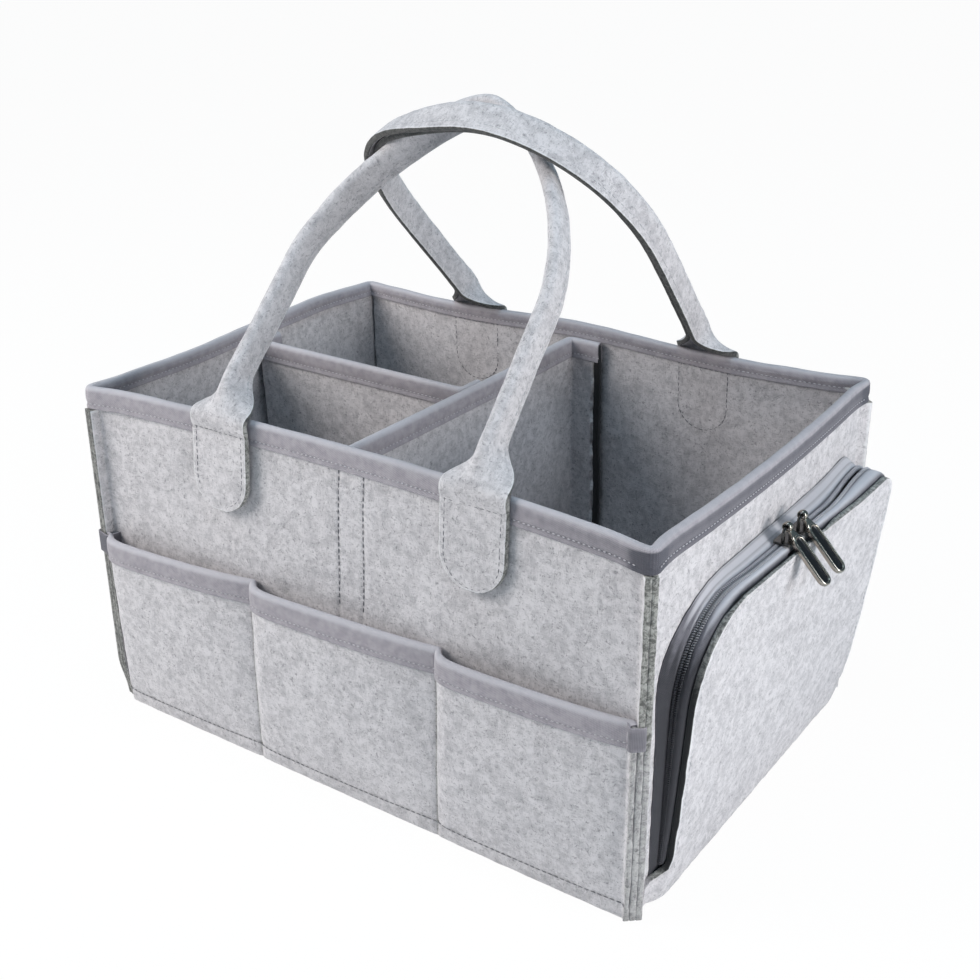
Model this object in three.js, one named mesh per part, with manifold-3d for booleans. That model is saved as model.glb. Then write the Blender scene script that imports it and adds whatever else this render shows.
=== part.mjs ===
// Felt nappy caddy: an open felt box with bound edges, sewn dividers, outside pockets,
// a zipped pocket on one end and two strap handles that lean in over the middle.
// Millimetres, +Z up, +Y to the back. The origin is the middle of the underside of the base.

import * as THREE from 'three';
import { mergeVertices } from 'three/addons/utils/BufferGeometryUtils.js';
import Module from 'manifold-3d';

// The box
const length = 330;
const width = 230;
const height = 187;
const felt = 3;
const sewnGap = 0.3;
const seamAllowance = 8;
const seamTurn = 30;
const drawIn = 10;
const endBelly = 4;
const foldRadius = 3;

// Binding tape folded over the raw edges
const tape = 0.8;
const rimTapeHeight = 11.5;
const rimCorner = 8;

// Outside pockets on both long sides
const pocketTop = 105;
const pocketSeam = 58;
const pocketBelly = 7.5;
const pocketPleat = 10;
const pocketTapeHeight = 12.5;

// Dividers
const dividerDrop = 8;
const dividerX = -9;
const dividerY = 6;
const dividerFlap = 17;
const dividerTapeHeight = 11;

// Handles: sewn tab, bending line just above the rim, folded strap
const handleSpacing = 152;
const stripWidth = 36;
const tabLength = 49;
const hingeAboveRim = 1;
const hingeGap = 3.2;
const handleLean = 43.5;
const strapThickness = 6.5;
const strapWidth = 16.5;
const pinchLength = 14;
const pinchPower = 1.4;
const crestNest = 11.5;
const backArch = { spread: 79, legs: 100, crest: 192.5, fullness: 2.1 };
const frontArch = { spread: 74, legs: 85, crest: backArch.crest - crestNest, fullness: 1.65 };

// Zipped end pocket: the zip runs up, over and down round the flap
const zipMargin = 17;
const zipDrop = 41;
const zipCorner = 45;
const zipBackCorner = 16;
const zipEnd = 20;
const pocketDepth = 15;
const pocketSkew = 6.3;
const pocketCrown = 3.8;
const depthPower = 0.62;
const flapRowPower = 1.5;
const zipTape = 1;
const zipFlare = 7;
const coilThickness = 2.5;
const flapInset = 1.5;
const flapFoot = 1;
const flapSetOff = 1;

// Shares of the pocket depth from the wall to the flap that each zip part takes
const wallTapeShare = [0, 0.52];
const tapeBendShare = 0.4;
const wallCoilShare = [0.535, 0.65];
const flapCoilShare = [0.75, 0.865];
const flapTapeShare = [0.88, 1];

// Zip sliders and pulls
const sliderLength = 13;
const sliderWidth = 8.2;
const sliderPlate = 1.2;
const sliderRoom = 0.45;
const sliderPost = 0.7;
const sliderPostLength = 5;
const sliderNose = 3;
const sliderCorner = 1;
const sliderPlaces = { front: -6, back: 9.5 };
const bailBar = 0.9;
const bailHeight = 8.6;
const bailSpan = 8.6;
const bailBend = 1.6;
const pullLength = 32;
const pullWidth = 8;
const pullThickness = 2.6;
const pullRim = 1.5;
const pullRecess = 0.8;
const pullNeck = 3.2;
const pullShoulder = 6.25;
const pullSlope = 40;
const eyeOuter = 2.5;
const eyeInner = 1.4;

// Fineness of the facets
const panelStep = 24;
const pocketRows = 3;
const pocketStops = [0, 0.03, 0.07, 0.12, 0.2, 0.35, 0.5, 0.65, 0.8, 0.9];
const bendSteps = 4;
const strapStep = 9;
const strapSides = 12;
const roundSides = 12;
const flapColumns = 10;
const flapRows = 14;
const bailSteps = 20;
const bailSides = 4;
const tipSides = 8;
const cornerSides = 3;

// Places that follow from the sizes above
const wallFace = { x: length / 2, y: width / 2 };
const softReach = { x: wallFace.x - rimCorner, y: wallFace.y - rimCorner };
const boundLayer = tape + 2 * sewnGap;
const betweenBindings = 2 * (tape + sewnGap) + sewnGap;
const wallTop = height - tape - sewnGap;
const dividerTop = height - dividerDrop;
const tabBottom = height - tabLength;
const zipTop = height - zipDrop;
const zipSpread = wallFace.y - zipMargin;
const hingeZ = height + hingeAboveRim;
const handleX = handleSpacing / 2;

const wasm = await Module();
wasm.setup();

// Geometry helpers

function closedBody(positions, index) {
  const geometry = new THREE.BufferGeometry();
  geometry.setAttribute('position', new THREE.Float32BufferAttribute(positions, 3));
  const a = new THREE.Vector3();
  const b = new THREE.Vector3();
  const c = new THREE.Vector3();
  let volume = 0;
  for (let i = 0; i < index.length; i += 3) {
    a.fromArray(positions, index[i] * 3);
    b.fromArray(positions, index[i + 1] * 3);
    c.fromArray(positions, index[i + 2] * 3);
    volume += a.dot(b.cross(c));
  }
  geometry.setIndex(volume > 0 ? index : index.slice().reverse());
  return geometry;
}

// A flat section of [offset, height] points carried along a path in plan
function ribbon(points, section, closed = false) {
  const count = points.length;
  const sides = section.length;
  const positions = [];
  const index = [];
  points.forEach((point, i) => {
    const before = closed || i > 0 ? points[(i - 1 + count) % count] : null;
    const after = closed || i < count - 1 ? points[(i + 1) % count] : null;
    const arriving = (before ? point.clone().sub(before) : after.clone().sub(point)).normalize();
    const leaving = (after ? after.clone().sub(point) : arriving.clone()).normalize();
    const along = arriving.clone().add(leaving).normalize();
    const mitre = 1 / along.dot(arriving);
    section.forEach(([offset, z]) => {
      positions.push(point.x + along.y * offset * mitre, point.y - along.x * offset * mitre, z);
    });
  });
  const last = closed ? count : count - 1;
  for (let i = 0; i < last; i += 1) {
    const here = i * sides;
    const next = ((i + 1) % count) * sides;
    for (let k = 0; k < sides; k += 1) {
      const m = (k + 1) % sides;
      index.push(here + k, next + k, next + m, here + k, next + m, here + m);
    }
  }
  if (!closed) {
    const outline = section.map(([offset, z]) => new THREE.Vector2(offset, z));
    const flipped = THREE.ShapeUtils.area(outline) < 0;
    const faces = THREE.ShapeUtils.triangulateShape(flipped ? outline.slice().reverse() : outline, []);
    const end = (count - 1) * sides;
    faces.forEach((face) => {
      const [p, q, r] = flipped ? face.map((k) => sides - 1 - k).reverse() : face;
      index.push(p, q, r, end + r, end + q, end + p);
    });
  }
  return closedBody(positions, index);
}

// A sheet between two surfaces, each given over u and v from 0 to 1
function sheet(columns, rows, face, back) {
  const positions = [];
  const index = [];
  const point = new THREE.Vector3();
  [face, back].forEach((surface) => {
    for (let j = 0; j <= rows; j += 1) {
      for (let i = 0; i <= columns; i += 1) {
        surface(i / columns, j / rows, point);
        positions.push(point.x, point.y, point.z);
      }
    }
  });
  const side = (columns + 1) * (rows + 1);
  const at = (i, j) => j * (columns + 1) + i;
  for (let j = 0; j < rows; j += 1) {
    for (let i = 0; i < columns; i += 1) {
      const [a, b, c, d] = [at(i, j), at(i + 1, j), at(i + 1, j + 1), at(i, j + 1)];
      index.push(a, b, c, a, c, d);
      index.push(side + a, side + c, side + b, side + a, side + d, side + c);
    }
  }
  const edge = [];
  for (let i = 0; i < columns; i += 1) edge.push(at(i, 0));
  for (let j = 0; j < rows; j += 1) edge.push(at(columns, j));
  for (let i = columns; i > 0; i -= 1) edge.push(at(i, rows));
  for (let j = rows; j > 0; j -= 1) edge.push(at(0, j));
  edge.forEach((a, k) => {
    const b = edge[(k + 1) % edge.length];
    index.push(a, side + b, b, a, side + a, side + b);
  });
  return closedBody(positions, index);
}

// Rings of equal count skinned into one body with flat ends
function loft(rings) {
  const sides = rings[0].length;
  const positions = rings.flat().flatMap((p) => [p.x, p.y, p.z]);
  const index = [];
  for (let i = 0; i < rings.length - 1; i += 1) {
    for (let k = 0; k < sides; k += 1) {
      const m = (k + 1) % sides;
      const [a, b] = [i * sides, (i + 1) * sides];
      index.push(a + k, a + m, b + m, a + k, b + m, b + k);
    }
  }
  const end = (rings.length - 1) * sides;
  for (let k = 1; k < sides - 1; k += 1) {
    index.push(0, k + 1, k, end, end + k, end + k + 1);
  }
  return closedBody(positions, index);
}

// A polyline with its corners rounded, all alike or each by its own radius
function folded(corners, radii, closed = false) {
  const count = corners.length;
  const points = [];
  corners.forEach((corner, i) => {
    const radius = Array.isArray(radii) ? radii[i] : radii;
    if (!closed && (i === 0 || i === count - 1)) {
      points.push(corner.clone());
      return;
    }
    const back = corners[(i - 1 + count) % count].clone().sub(corner).normalize();
    const on = corners[(i + 1) % count].clone().sub(corner).normalize();
    const half = Math.acos(THREE.MathUtils.clamp(back.dot(on), -1, 1)) / 2;
    const centre = back.clone().add(on).normalize().multiplyScalar(radius / Math.sin(half)).add(corner);
    const start = corner.clone().addScaledVector(back, radius / Math.tan(half)).sub(centre);
    const turn = (Math.PI - 2 * half) * Math.sign(on.cross(back));
    for (let k = 0; k <= bendSteps; k += 1) {
      points.push(start.clone().rotateAround(new THREE.Vector2(), (turn * k) / bendSteps).add(centre));
    }
  });
  return points;
}

// The same path with no stretch longer than a step
function stepped(points, step, closed = false) {
  const dense = [];
  points.forEach((point, i) => {
    dense.push(point.clone());
    if (!closed && i === points.length - 1) return;
    const next = points[(i + 1) % points.length];
    const pieces = Math.ceil(point.distanceTo(next) / step - 1e-6);
    for (let k = 1; k < pieces; k += 1) dense.push(point.clone().lerp(next, k / pieces));
  });
  return dense;
}

// Section of an upright felt panel, and of tape folded over its top edge
function slab(low, high, rows = Math.ceil((high - low) / panelStep)) {
  const up = Array.from({ length: rows + 1 }, (_, k) => low + ((high - low) * k) / rows);
  return [...up.map((z) => [felt / 2, z]), ...up.reverse().map((z) => [-felt / 2, z])];
}

function foldedTape(top, drop) {
  const inside = felt / 2 + sewnGap;
  const outside = inside + tape;
  const roof = top - tape;
  const low = top - drop;
  return [
    [outside, low], [outside, top], [-outside, top], [-outside, low],
    [-inside, low], [-inside, roof], [inside, roof], [inside, low],
  ];
}

function warp(geometry, ...moves) {
  const place = geometry.attributes.position;
  const point = new THREE.Vector3();
  for (let i = 0; i < place.count; i += 1) {
    point.fromBufferAttribute(place, i);
    moves.forEach((move) => move(point));
    place.setXYZ(i, point.x, point.y, point.z);
  }
  return geometry;
}

// The long sides draw in and the ends belly out towards the rim
function settle(point) {
  const rise = point.z / height;
  const alongSide = Math.max(0, 1 - (point.x / softReach.x) ** 2);
  const acrossEnd = Math.max(0, 1 - (point.y / softReach.y) ** 2);
  const inward = (point.y / wallFace.y) * drawIn * rise ** 2 * alongSide;
  const outward = (point.x / wallFace.x) * endBelly * rise ** 4 * acrossEnd;
  point.x += outward;
  point.y -= inward;
}

function box(low, high) {
  const size = high.map((value, i) => value - low[i]);
  const geometry = new THREE.BoxGeometry(...size);
  return geometry.translate(...low.map((value, i) => value + size[i] / 2));
}

function extruded(shape, depth, curveSegments) {
  return new THREE.ExtrudeGeometry(shape, { depth, curveSegments, bevelEnabled: false });
}

function toBody(geometry) {
  const plain = geometry.clone();
  plain.deleteAttribute('normal');
  plain.deleteAttribute('uv');
  const merged = mergeVertices(plain);
  return new wasm.Manifold(new wasm.Mesh({
    numProp: 3,
    vertProperties: new Float32Array(merged.attributes.position.array),
    triVerts: new Uint32Array(merged.index.array),
  }));
}

function fromBody(body) {
  const mesh = body.getMesh();
  const geometry = new THREE.BufferGeometry();
  const positions = new Float32Array(mesh.vertProperties);
  geometry.setAttribute('position', new THREE.BufferAttribute(positions, 3));
  geometry.setIndex(new THREE.BufferAttribute(new Uint32Array(mesh.triVerts), 1));
  return geometry;
}

function cut(geometry, cutters) {
  return fromBody(cutters.reduce((body, cutter) => body.subtract(toBody(cutter)), toBody(geometry)));
}

function join(geometries) {
  return fromBody(geometries.map(toBody).reduce((body, other) => body.add(other)));
}

const at = (x, y) => new THREE.Vector2(x, y);

// Materials and the group

function finish(color, roughness, metalness) {
  return new THREE.MeshStandardMaterial({ color, roughness, metalness });
}

const feltGrey = finish(0xc6c6ca, 0.95, 0);
const bindingGrey = finish(0xa2a0aa, 0.85, 0);
const zipTapeGrey = finish(0x8e8d95, 0.85, 0);
const coilGrey = finish(0x56565d, 0.5, 0);
const gunmetal = finish(0x3b3a3c, 0.28, 0.95);

const caddy = new THREE.Group();

function add(name, geometry, material) {
  geometry.computeVertexNormals();
  const mesh = new THREE.Mesh(geometry, material);
  mesh.name = name;
  caddy.add(mesh);
  return mesh;
}

// Base panel

const baseReach = { x: wallFace.x - felt - sewnGap, y: wallFace.y - felt - sewnGap };
add('base_panel', box([-baseReach.x, -baseReach.y, 0], [baseReach.x, baseReach.y, felt]), feltGrey);

// Walls: at the corners they turn out and are sewn face to face as a raw standing seam

const seamAngle = THREE.MathUtils.degToRad(seamTurn);
const seamHeading = at(Math.cos(seamAngle), Math.sin(seamAngle));
const seamStart = at(wallFace.x - felt, wallFace.y - felt);

// Where a layer turns out, and where it ends, for the corner at +X and +Y
function seamLayer(outside) {
  const aside = at(-seamHeading.y, seamHeading.x).multiplyScalar(outside);
  const end = seamStart.clone().addScaledVector(seamHeading, seamAllowance).add(aside);
  return { end, turn: (line) => end.clone().addScaledVector(seamHeading, (line - end.y) / seamHeading.y) };
}

const finTop = height - rimTapeHeight - sewnGap;
const aboveRim = height + 1;

// Path of a layer along a long side, at a distance outside the wall's middle
function longPath(side, outside) {
  const y = wallFace.y - felt / 2 + outside;
  const { end, turn } = seamLayer((felt + sewnGap) / 2 + outside);
  const corners = [end, turn(y)];
  const mirrored = corners.map((p) => at(-p.x, p.y)).reverse();
  return folded([...corners, ...mirrored].map((p) => at(p.x, side * p.y)), foldRadius).reverse();
}

function longWall(side) {
  const path = longPath(side, 0);
  const middle = path.length / 2;
  const soft = [-1, 1].map((end) => at(end * softReach.x, path[middle].y));
  path.splice(middle, 0, ...soft);
  const panel = warp(ribbon(stepped(path, panelStep), slab(0, wallTop)), settle);
  const corners = [-1, 1].map((end) => {
    const reach = [end * softReach.x, end * length].sort((a, b) => a - b);
    return box([reach[0], -width, finTop], [reach[1], width, aboveRim]);
  });
  return cut(panel, corners);
}

function endWall(end) {
  const x = wallFace.x - felt / 2;
  const layer = seamLayer(-(felt + sewnGap) / 2);
  const share = (x - layer.end.x) / seamHeading.x;
  const turn = layer.end.clone().addScaledVector(seamHeading, share);
  const corners = [layer.end, turn];
  const mirrored = corners.map((p) => at(p.x, -p.y)).reverse();
  const outline = [...corners, ...mirrored].map((p) => at(end * p.x, p.y));
  const panel = warp(ribbon(stepped(folded(outline, foldRadius), panelStep), slab(0, wallTop)), settle);
  const notches = [-1, 1].map((side) => {
    const reach = [side * softReach.y, side * width].sort((a, b) => a - b);
    return box([-length, reach[0], finTop], [length, reach[1], aboveRim]);
  });
  return cut(panel, notches);
}

add('front_wall', longWall(-1), feltGrey);
add('back_wall', longWall(1), feltGrey);
add('left_wall', endWall(-1), feltGrey);
add('right_wall', endWall(1), feltGrey);

const rimX = wallFace.x - felt / 2;
const rimY = wallFace.y - felt / 2;
const rimCorners = [at(-rimX, -rimY), at(rimX, -rimY), at(rimX, rimY), at(-rimX, rimY)];
const rimPath = stepped(folded(rimCorners, rimCorner - felt / 2, true), panelStep, true);
add('rim_binding', warp(ribbon(rimPath, foldedTape(height, rimTapeHeight), true), settle), bindingGrey);

// Outside pockets: one strip along each long side, sewn down at its ends and two seams.
// Each pocket stands out in a pleat at one seam and slopes back to the next.

const pocketLayer = felt + boundLayer;
const pocketEnd = longPath(1, pocketLayer).reduce((least, p) => (p.x > 0 ? Math.min(least, p.x) : least), length);
const pocketSeams = [-pocketEnd, -pocketSeam, pocketSeam, pocketEnd];

function pocketSwell(side) {
  return (point) => {
    const x = -side * point.x;
    const from = pocketSeams.findLastIndex((seam) => x >= seam);
    if (from < 0 || from > pocketSeams.length - 2) return;
    const share = (x - pocketSeams[from]) / (pocketSeams[from + 1] - pocketSeams[from]);
    const bow = (1 - (1 - share) ** pocketPleat) * (1 - share ** 3);
    point.y += side * pocketBelly * bow * Math.sqrt(point.z / pocketTop);
  };
}

function pocketPath(side) {
  const path = longPath(side, pocketLayer);
  const middle = path.length / 2;
  const stops = [];
  pocketSeams.slice(0, -1).forEach((seam, i) => {
    pocketStops.forEach((share) => stops.push(seam + (pocketSeams[i + 1] - seam) * share));
  });
  const inner = stops.slice(1).map((x) => at(-side * x, path[middle].y));
  path.splice(middle, 0, ...inner.sort((a, b) => Math.sign(path[middle].x - path[middle - 1].x) * (a.x - b.x)));
  return path;
}

[['front', -1], ['back', 1]].forEach(([name, side]) => {
  const path = pocketPath(side);
  const strip = ribbon(path, slab(0, pocketTop - tape - sewnGap, pocketRows));
  const binding = ribbon(path, foldedTape(pocketTop, pocketTapeHeight));
  add(`${name}_pocket_strip`, warp(strip, settle, pocketSwell(side)), feltGrey);
  add(`${name}_pocket_binding`, warp(binding, settle, pocketSwell(side)), bindingGrey);
});

// Dividers: the cross divider's end flaps lie on the long walls, the short one's on its neighbours

const flapY = wallFace.y - felt - betweenBindings - felt / 2;
const crossPath = stepped(folded([
  at(dividerX + dividerFlap, -flapY), at(dividerX, -flapY),
  at(dividerX, flapY), at(dividerX + dividerFlap, flapY),
], foldRadius), panelStep);
const shortFrom = -wallFace.x + felt + betweenBindings + felt / 2;
const shortTo = dividerX - felt - betweenBindings;
const shortPath = stepped(folded([
  at(shortFrom, dividerY + dividerFlap), at(shortFrom, dividerY),
  at(shortTo, dividerY), at(shortTo, dividerY + dividerFlap),
], foldRadius), panelStep);

[['cross', crossPath], ['short', shortPath]].forEach(([name, path]) => {
  const panel = ribbon(path, slab(felt + sewnGap, dividerTop - tape - sewnGap));
  const binding = ribbon(path, foldedTape(dividerTop, dividerTapeHeight));
  add(`${name}_divider`, warp(panel, settle), feltGrey);
  add(`${name}_divider_binding`, warp(binding, settle), bindingGrey);
});

// Handles: flat tabs sewn to the walls, and straps folded double above the bending line

function handleTab(side, x) {
  const half = stripWidth / 2;
  const shape = new THREE.Shape();
  shape.moveTo(half, hingeZ - hingeGap);
  shape.lineTo(-half, hingeZ - hingeGap);
  shape.lineTo(-half, tabBottom + half);
  shape.absarc(0, tabBottom + half, half, Math.PI, 2 * Math.PI, false);
  const plate = extruded(shape, felt, roundSides);
  plate.rotateX(Math.PI / 2);
  const inner = wallFace.y + boundLayer;
  return warp(plate.translate(x, side < 0 ? -inner : inner + felt, 0), settle);
}

function archPath(arch) {
  const rise = arch.crest - arch.legs;
  const dense = [];
  const samples = 200;
  for (let k = 0; k <= samples; k += 1) {
    const up = (arch.legs * k) / samples;
    const ease = THREE.MathUtils.smoothstep(up, 0, arch.legs);
    dense.push(at(handleX + (arch.spread - handleX) * ease, up));
  }
  for (let k = 1; k < samples; k += 1) {
    const angle = (Math.PI * k) / samples;
    const c = Math.cos(angle);
    const power = 2 / arch.fullness;
    dense.push(at(
      arch.spread * Math.sign(c) * Math.abs(c) ** power,
      arch.legs + rise * Math.sin(angle) ** power,
    ));
  }
  const farLeg = dense.slice(0, samples + 1).reverse().map((p) => at(-p.x, p.y));
  return dense.concat(farLeg);
}

function handleStrap(arch) {
  const route = archPath(arch).map((p) => new THREE.Vector3(p.x, 0, p.y));
  const lengths = [0];
  route.forEach((p, i) => {
    if (i > 0) lengths.push(lengths[i - 1] + p.distanceTo(route[i - 1]));
  });
  const total = lengths[lengths.length - 1];
  const stations = Math.round(total / strapStep);
  const pointAt = (distance) => {
    const i = Math.max(1, lengths.findIndex((value) => value >= distance - 1e-6));
    const share = (distance - lengths[i - 1]) / (lengths[i] - lengths[i - 1]);
    return route[i - 1].clone().lerp(route[i], share);
  };
  const rings = [];
  for (let k = 0; k <= stations; k += 1) {
    const distance = (total * k) / stations;
    const centre = pointAt(distance);
    const ahead = pointAt(Math.min(total, distance + strapStep / 2));
    const along = ahead.sub(pointAt(Math.max(0, distance - strapStep / 2))).normalize();
    const acrossArch = new THREE.Vector3(along.z, 0, -along.x);
    const fromEnd = Math.max(0, Math.min(distance, total - distance));
    const pinch = 1 - Math.exp(-((fromEnd / pinchLength) ** pinchPower));
    const inPlane = THREE.MathUtils.lerp(stripWidth, strapThickness, pinch) / 2;
    const outOfPlane = THREE.MathUtils.lerp(felt, strapWidth, pinch) / 2;
    const ring = [];
    for (let s = 0; s < strapSides; s += 1) {
      const turn = (2 * Math.PI * (s + 0.5)) / strapSides;
      const [c, n] = [Math.cos(turn), Math.sin(turn)];
      const point = centre.clone();
      point.addScaledVector(acrossArch, inPlane * Math.sign(c) * Math.sqrt(Math.abs(c)));
      point.y += outOfPlane * Math.sign(n) * Math.sqrt(Math.abs(n));
      ring.push(point);
    }
    rings.push(ring);
  }
  return loft(rings);
}

[['front', -1, frontArch], ['back', 1, backArch]].forEach(([name, side, arch]) => {
  add(`${name}_handle_tab_left`, handleTab(side, -handleX), feltGrey);
  add(`${name}_handle_tab_right`, handleTab(side, handleX), feltGrey);
  const hinge = new THREE.Vector3(handleX, side * (wallFace.y + boundLayer + felt / 2), hingeZ);
  settle(hinge);
  const strap = add(`${name}_handle_strap`, handleStrap(arch), feltGrey);
  strap.position.set(0, hinge.y, hinge.z);
  strap.rotation.x = side * THREE.MathUtils.degToRad(handleLean);
});

// Zipped pocket on the right end

function depthAt(y, z) {
  const across = y / zipSpread;
  const full = pocketDepth + pocketSkew * across + pocketCrown * across ** 2;
  return full * (z / zipTop) ** depthPower;
}

const zipPath = stepped(folded([
  at(-zipSpread, zipEnd), at(-zipSpread, zipTop), at(zipSpread, zipTop), at(zipSpread, zipEnd),
], [0, zipCorner, zipBackCorner, 0]), panelStep / 2);

// Band round the zip path, between shares of the pocket depth, each with its offset from the path
function zipBand(thickness, profile) {
  const half = thickness / 2;
  const face = profile.map(([offset, share]) => [offset + half, share]);
  const back = profile.map(([offset, share]) => [offset - half, share]).reverse();
  const band = ribbon(zipPath, [...face, ...back]);
  const standUp = (point) => {
    const [y, z, share] = [point.x, point.y, point.z];
    point.set(wallFace.x + sewnGap + share * depthAt(y, z), y, z);
  };
  return warp(band, standUp, settle);
}

function pocketFlap() {
  const half = zipSpread - flapInset;
  const top = zipTop - flapInset;
  const reach = (z, corner) => {
    const round = corner - flapInset;
    const up = z - (top - round);
    return up <= 0 ? half : half - round + Math.sqrt(Math.max(0, round ** 2 - up ** 2));
  };
  const face = (lift) => (u, v, point) => {
    const z = flapFoot + (top - flapFoot) * (1 - (1 - v) ** flapRowPower);
    const y = THREE.MathUtils.lerp(-reach(z, zipCorner), reach(z, zipBackCorner), u);
    point.set(wallFace.x + flapSetOff + depthAt(y, z) + lift, y, z);
    settle(point);
  };
  return sheet(flapColumns, flapRows, face(0), face(felt));
}

const upright = (shares) => shares.map((share) => [0, share]);
const slanted = [[-zipFlare, wallTapeShare[0]], ...upright([tapeBendShare, wallTapeShare[1]])];

add('zip_tape_wall', zipBand(zipTape, slanted), zipTapeGrey);
add('zip_coil_wall', zipBand(coilThickness, upright(wallCoilShare)), coilGrey);
add('pocket_flap', pocketFlap(), feltGrey);
add('zip_tape_flap', zipBand(zipTape, upright(flapTapeShare)), zipTapeGrey);
add('zip_coil_flap', zipBand(coilThickness, upright(flapCoilShare)), coilGrey);

// Sliders: two plates on a thin post between the coils, with an arched bail for the pull

function sliderBody() {
  const half = sliderWidth / 2;
  const end = sliderLength / 2;
  const outline = new THREE.Shape();
  outline.moveTo(half, -end + sliderCorner);
  outline.lineTo(half, end - sliderNose);
  outline.quadraticCurveTo(half, end, half / 2, end);
  outline.lineTo(-half / 2, end);
  outline.quadraticCurveTo(-half, end, -half, end - sliderNose);
  outline.lineTo(-half, -end + sliderCorner);
  outline.quadraticCurveTo(-half, -end, -half + sliderCorner, -end);
  outline.lineTo(half - sliderCorner, -end);
  outline.quadraticCurveTo(half, -end, half, -end + sliderCorner);
  const plate = extruded(outline, sliderPlate, cornerSides);
  const level = coilThickness / 2 + sliderRoom;
  const upper = plate.clone().translate(0, 0, level);
  const lower = plate.clone().translate(0, 0, -level - sliderPlate);
  const tall = level + sliderPlate / 2;
  const postCorner = [sliderPost / 2, sliderPostLength / 2, tall];
  const post = box(postCorner.map((value) => -value), postCorner);
  const ring = new THREE.Shape();
  ring.absarc(0, 0, bailBar, 0, 2 * Math.PI, false);
  const side = bailSpan / 2;
  const bailAt = (y, z) => new THREE.Vector3(0, y, z);
  const low = bailHeight - bailBend;
  const inside = side - bailBend;
  const bailPath = new THREE.CurvePath();
  bailPath.add(new THREE.LineCurve3(bailAt(-side, tall), bailAt(-side, low)));
  bailPath.add(new THREE.QuadraticBezierCurve3(
    bailAt(-side, low), bailAt(-side, bailHeight), bailAt(-inside, bailHeight),
  ));
  bailPath.add(new THREE.LineCurve3(bailAt(-inside, bailHeight), bailAt(inside, bailHeight)));
  bailPath.add(new THREE.QuadraticBezierCurve3(
    bailAt(inside, bailHeight), bailAt(side, bailHeight), bailAt(side, low),
  ));
  bailPath.add(new THREE.LineCurve3(bailAt(side, low), bailAt(side, tall)));
  const bail = new THREE.ExtrudeGeometry(ring, {
    steps: bailSteps,
    extrudePath: bailPath,
    curveSegments: bailSides,
  });
  return join([upper, lower, post, bail]);
}

// Pull: an eye round the bail, a neck, and a long tab with a raised rim and a sunk face
function pullBody() {
  const outer = new THREE.Shape();
  outer.absarc(0, 0, eyeOuter, 0, 2 * Math.PI, false);
  const hole = new THREE.Path();
  hole.absarc(0, 0, eyeInner, 0, 2 * Math.PI, true);
  outer.holes.push(hole);
  const eye = extruded(outer, pullNeck, roundSides);
  eye.translate(0, 0, -pullNeck / 2).rotateX(Math.PI / 2);
  const tabOutline = (inset) => {
    const half = pullWidth / 2 - inset;
    const shoulder = pullShoulder + inset;
    const root = inset > 0 ? shoulder : (eyeOuter + eyeInner) / 2;
    const neck = inset > 0 ? half : pullNeck / 2;
    const tip = pullLength - inset - half;
    const shape = new THREE.Shape();
    shape.moveTo(root, -neck);
    shape.lineTo(shoulder, -half);
    shape.lineTo(tip, -half);
    shape.absarc(tip, 0, half, -Math.PI / 2, Math.PI / 2, false);
    shape.lineTo(shoulder, half);
    shape.lineTo(root, neck);
    return shape;
  };
  const tab = extruded(tabOutline(0), pullThickness, tipSides);
  tab.translate(0, 0, -pullThickness / 2);
  const sunk = extruded(tabOutline(pullRim), pullThickness, tipSides);
  sunk.translate(0, 0, pullThickness / 2 - pullRecess);
  return cut(join([eye, tab]), [sunk]);
}

const chainShare = (wallCoilShare[1] + flapCoilShare[0]) / 2;
Object.entries(sliderPlaces).forEach(([name, y]) => {
  const chain = new THREE.Vector3(wallFace.x + sewnGap + chainShare * depthAt(y, zipTop), y, zipTop);
  settle(chain);
  const slider = add(`zip_slider_${name}`, sliderBody(), gunmetal);
  slider.position.copy(chain);
  const pull = add(`zip_pull_${name}`, pullBody(), gunmetal);
  pull.position.copy(chain).setZ(zipTop + bailHeight);
  pull.rotation.y = THREE.MathUtils.degToRad(pullSlope);
});

export default caddy;
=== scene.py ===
import math

import bpy
import numpy as np
from mathutils import Euler, Matrix, Vector


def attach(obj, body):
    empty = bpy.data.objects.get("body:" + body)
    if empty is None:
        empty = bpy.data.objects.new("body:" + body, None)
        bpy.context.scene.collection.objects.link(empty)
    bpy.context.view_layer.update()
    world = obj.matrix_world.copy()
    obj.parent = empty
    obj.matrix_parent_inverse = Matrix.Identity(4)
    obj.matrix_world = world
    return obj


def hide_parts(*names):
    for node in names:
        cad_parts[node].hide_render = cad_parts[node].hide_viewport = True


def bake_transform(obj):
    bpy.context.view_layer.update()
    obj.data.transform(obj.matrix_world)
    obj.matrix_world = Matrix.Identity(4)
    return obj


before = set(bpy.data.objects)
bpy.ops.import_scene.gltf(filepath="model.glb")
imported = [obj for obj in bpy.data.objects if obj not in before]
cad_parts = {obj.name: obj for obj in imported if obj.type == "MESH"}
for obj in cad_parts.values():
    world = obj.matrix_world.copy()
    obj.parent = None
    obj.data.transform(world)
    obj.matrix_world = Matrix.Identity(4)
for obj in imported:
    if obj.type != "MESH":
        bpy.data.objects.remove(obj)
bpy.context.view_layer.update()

# The studio: a pale floor under a white surround, a wide soft lamp high on the left, a low one on
# the right, and two weak ones above. The camera stands where the photograph was taken from.
camera_place = (0.3907, -0.5524, 0.4364)
camera_turn = math.radians(34.78)
camera_rise = math.radians(24.69)
camera_roll = math.radians(-0.37)
camera_focal_frames = 1389 / 980
sensor = 36

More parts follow.
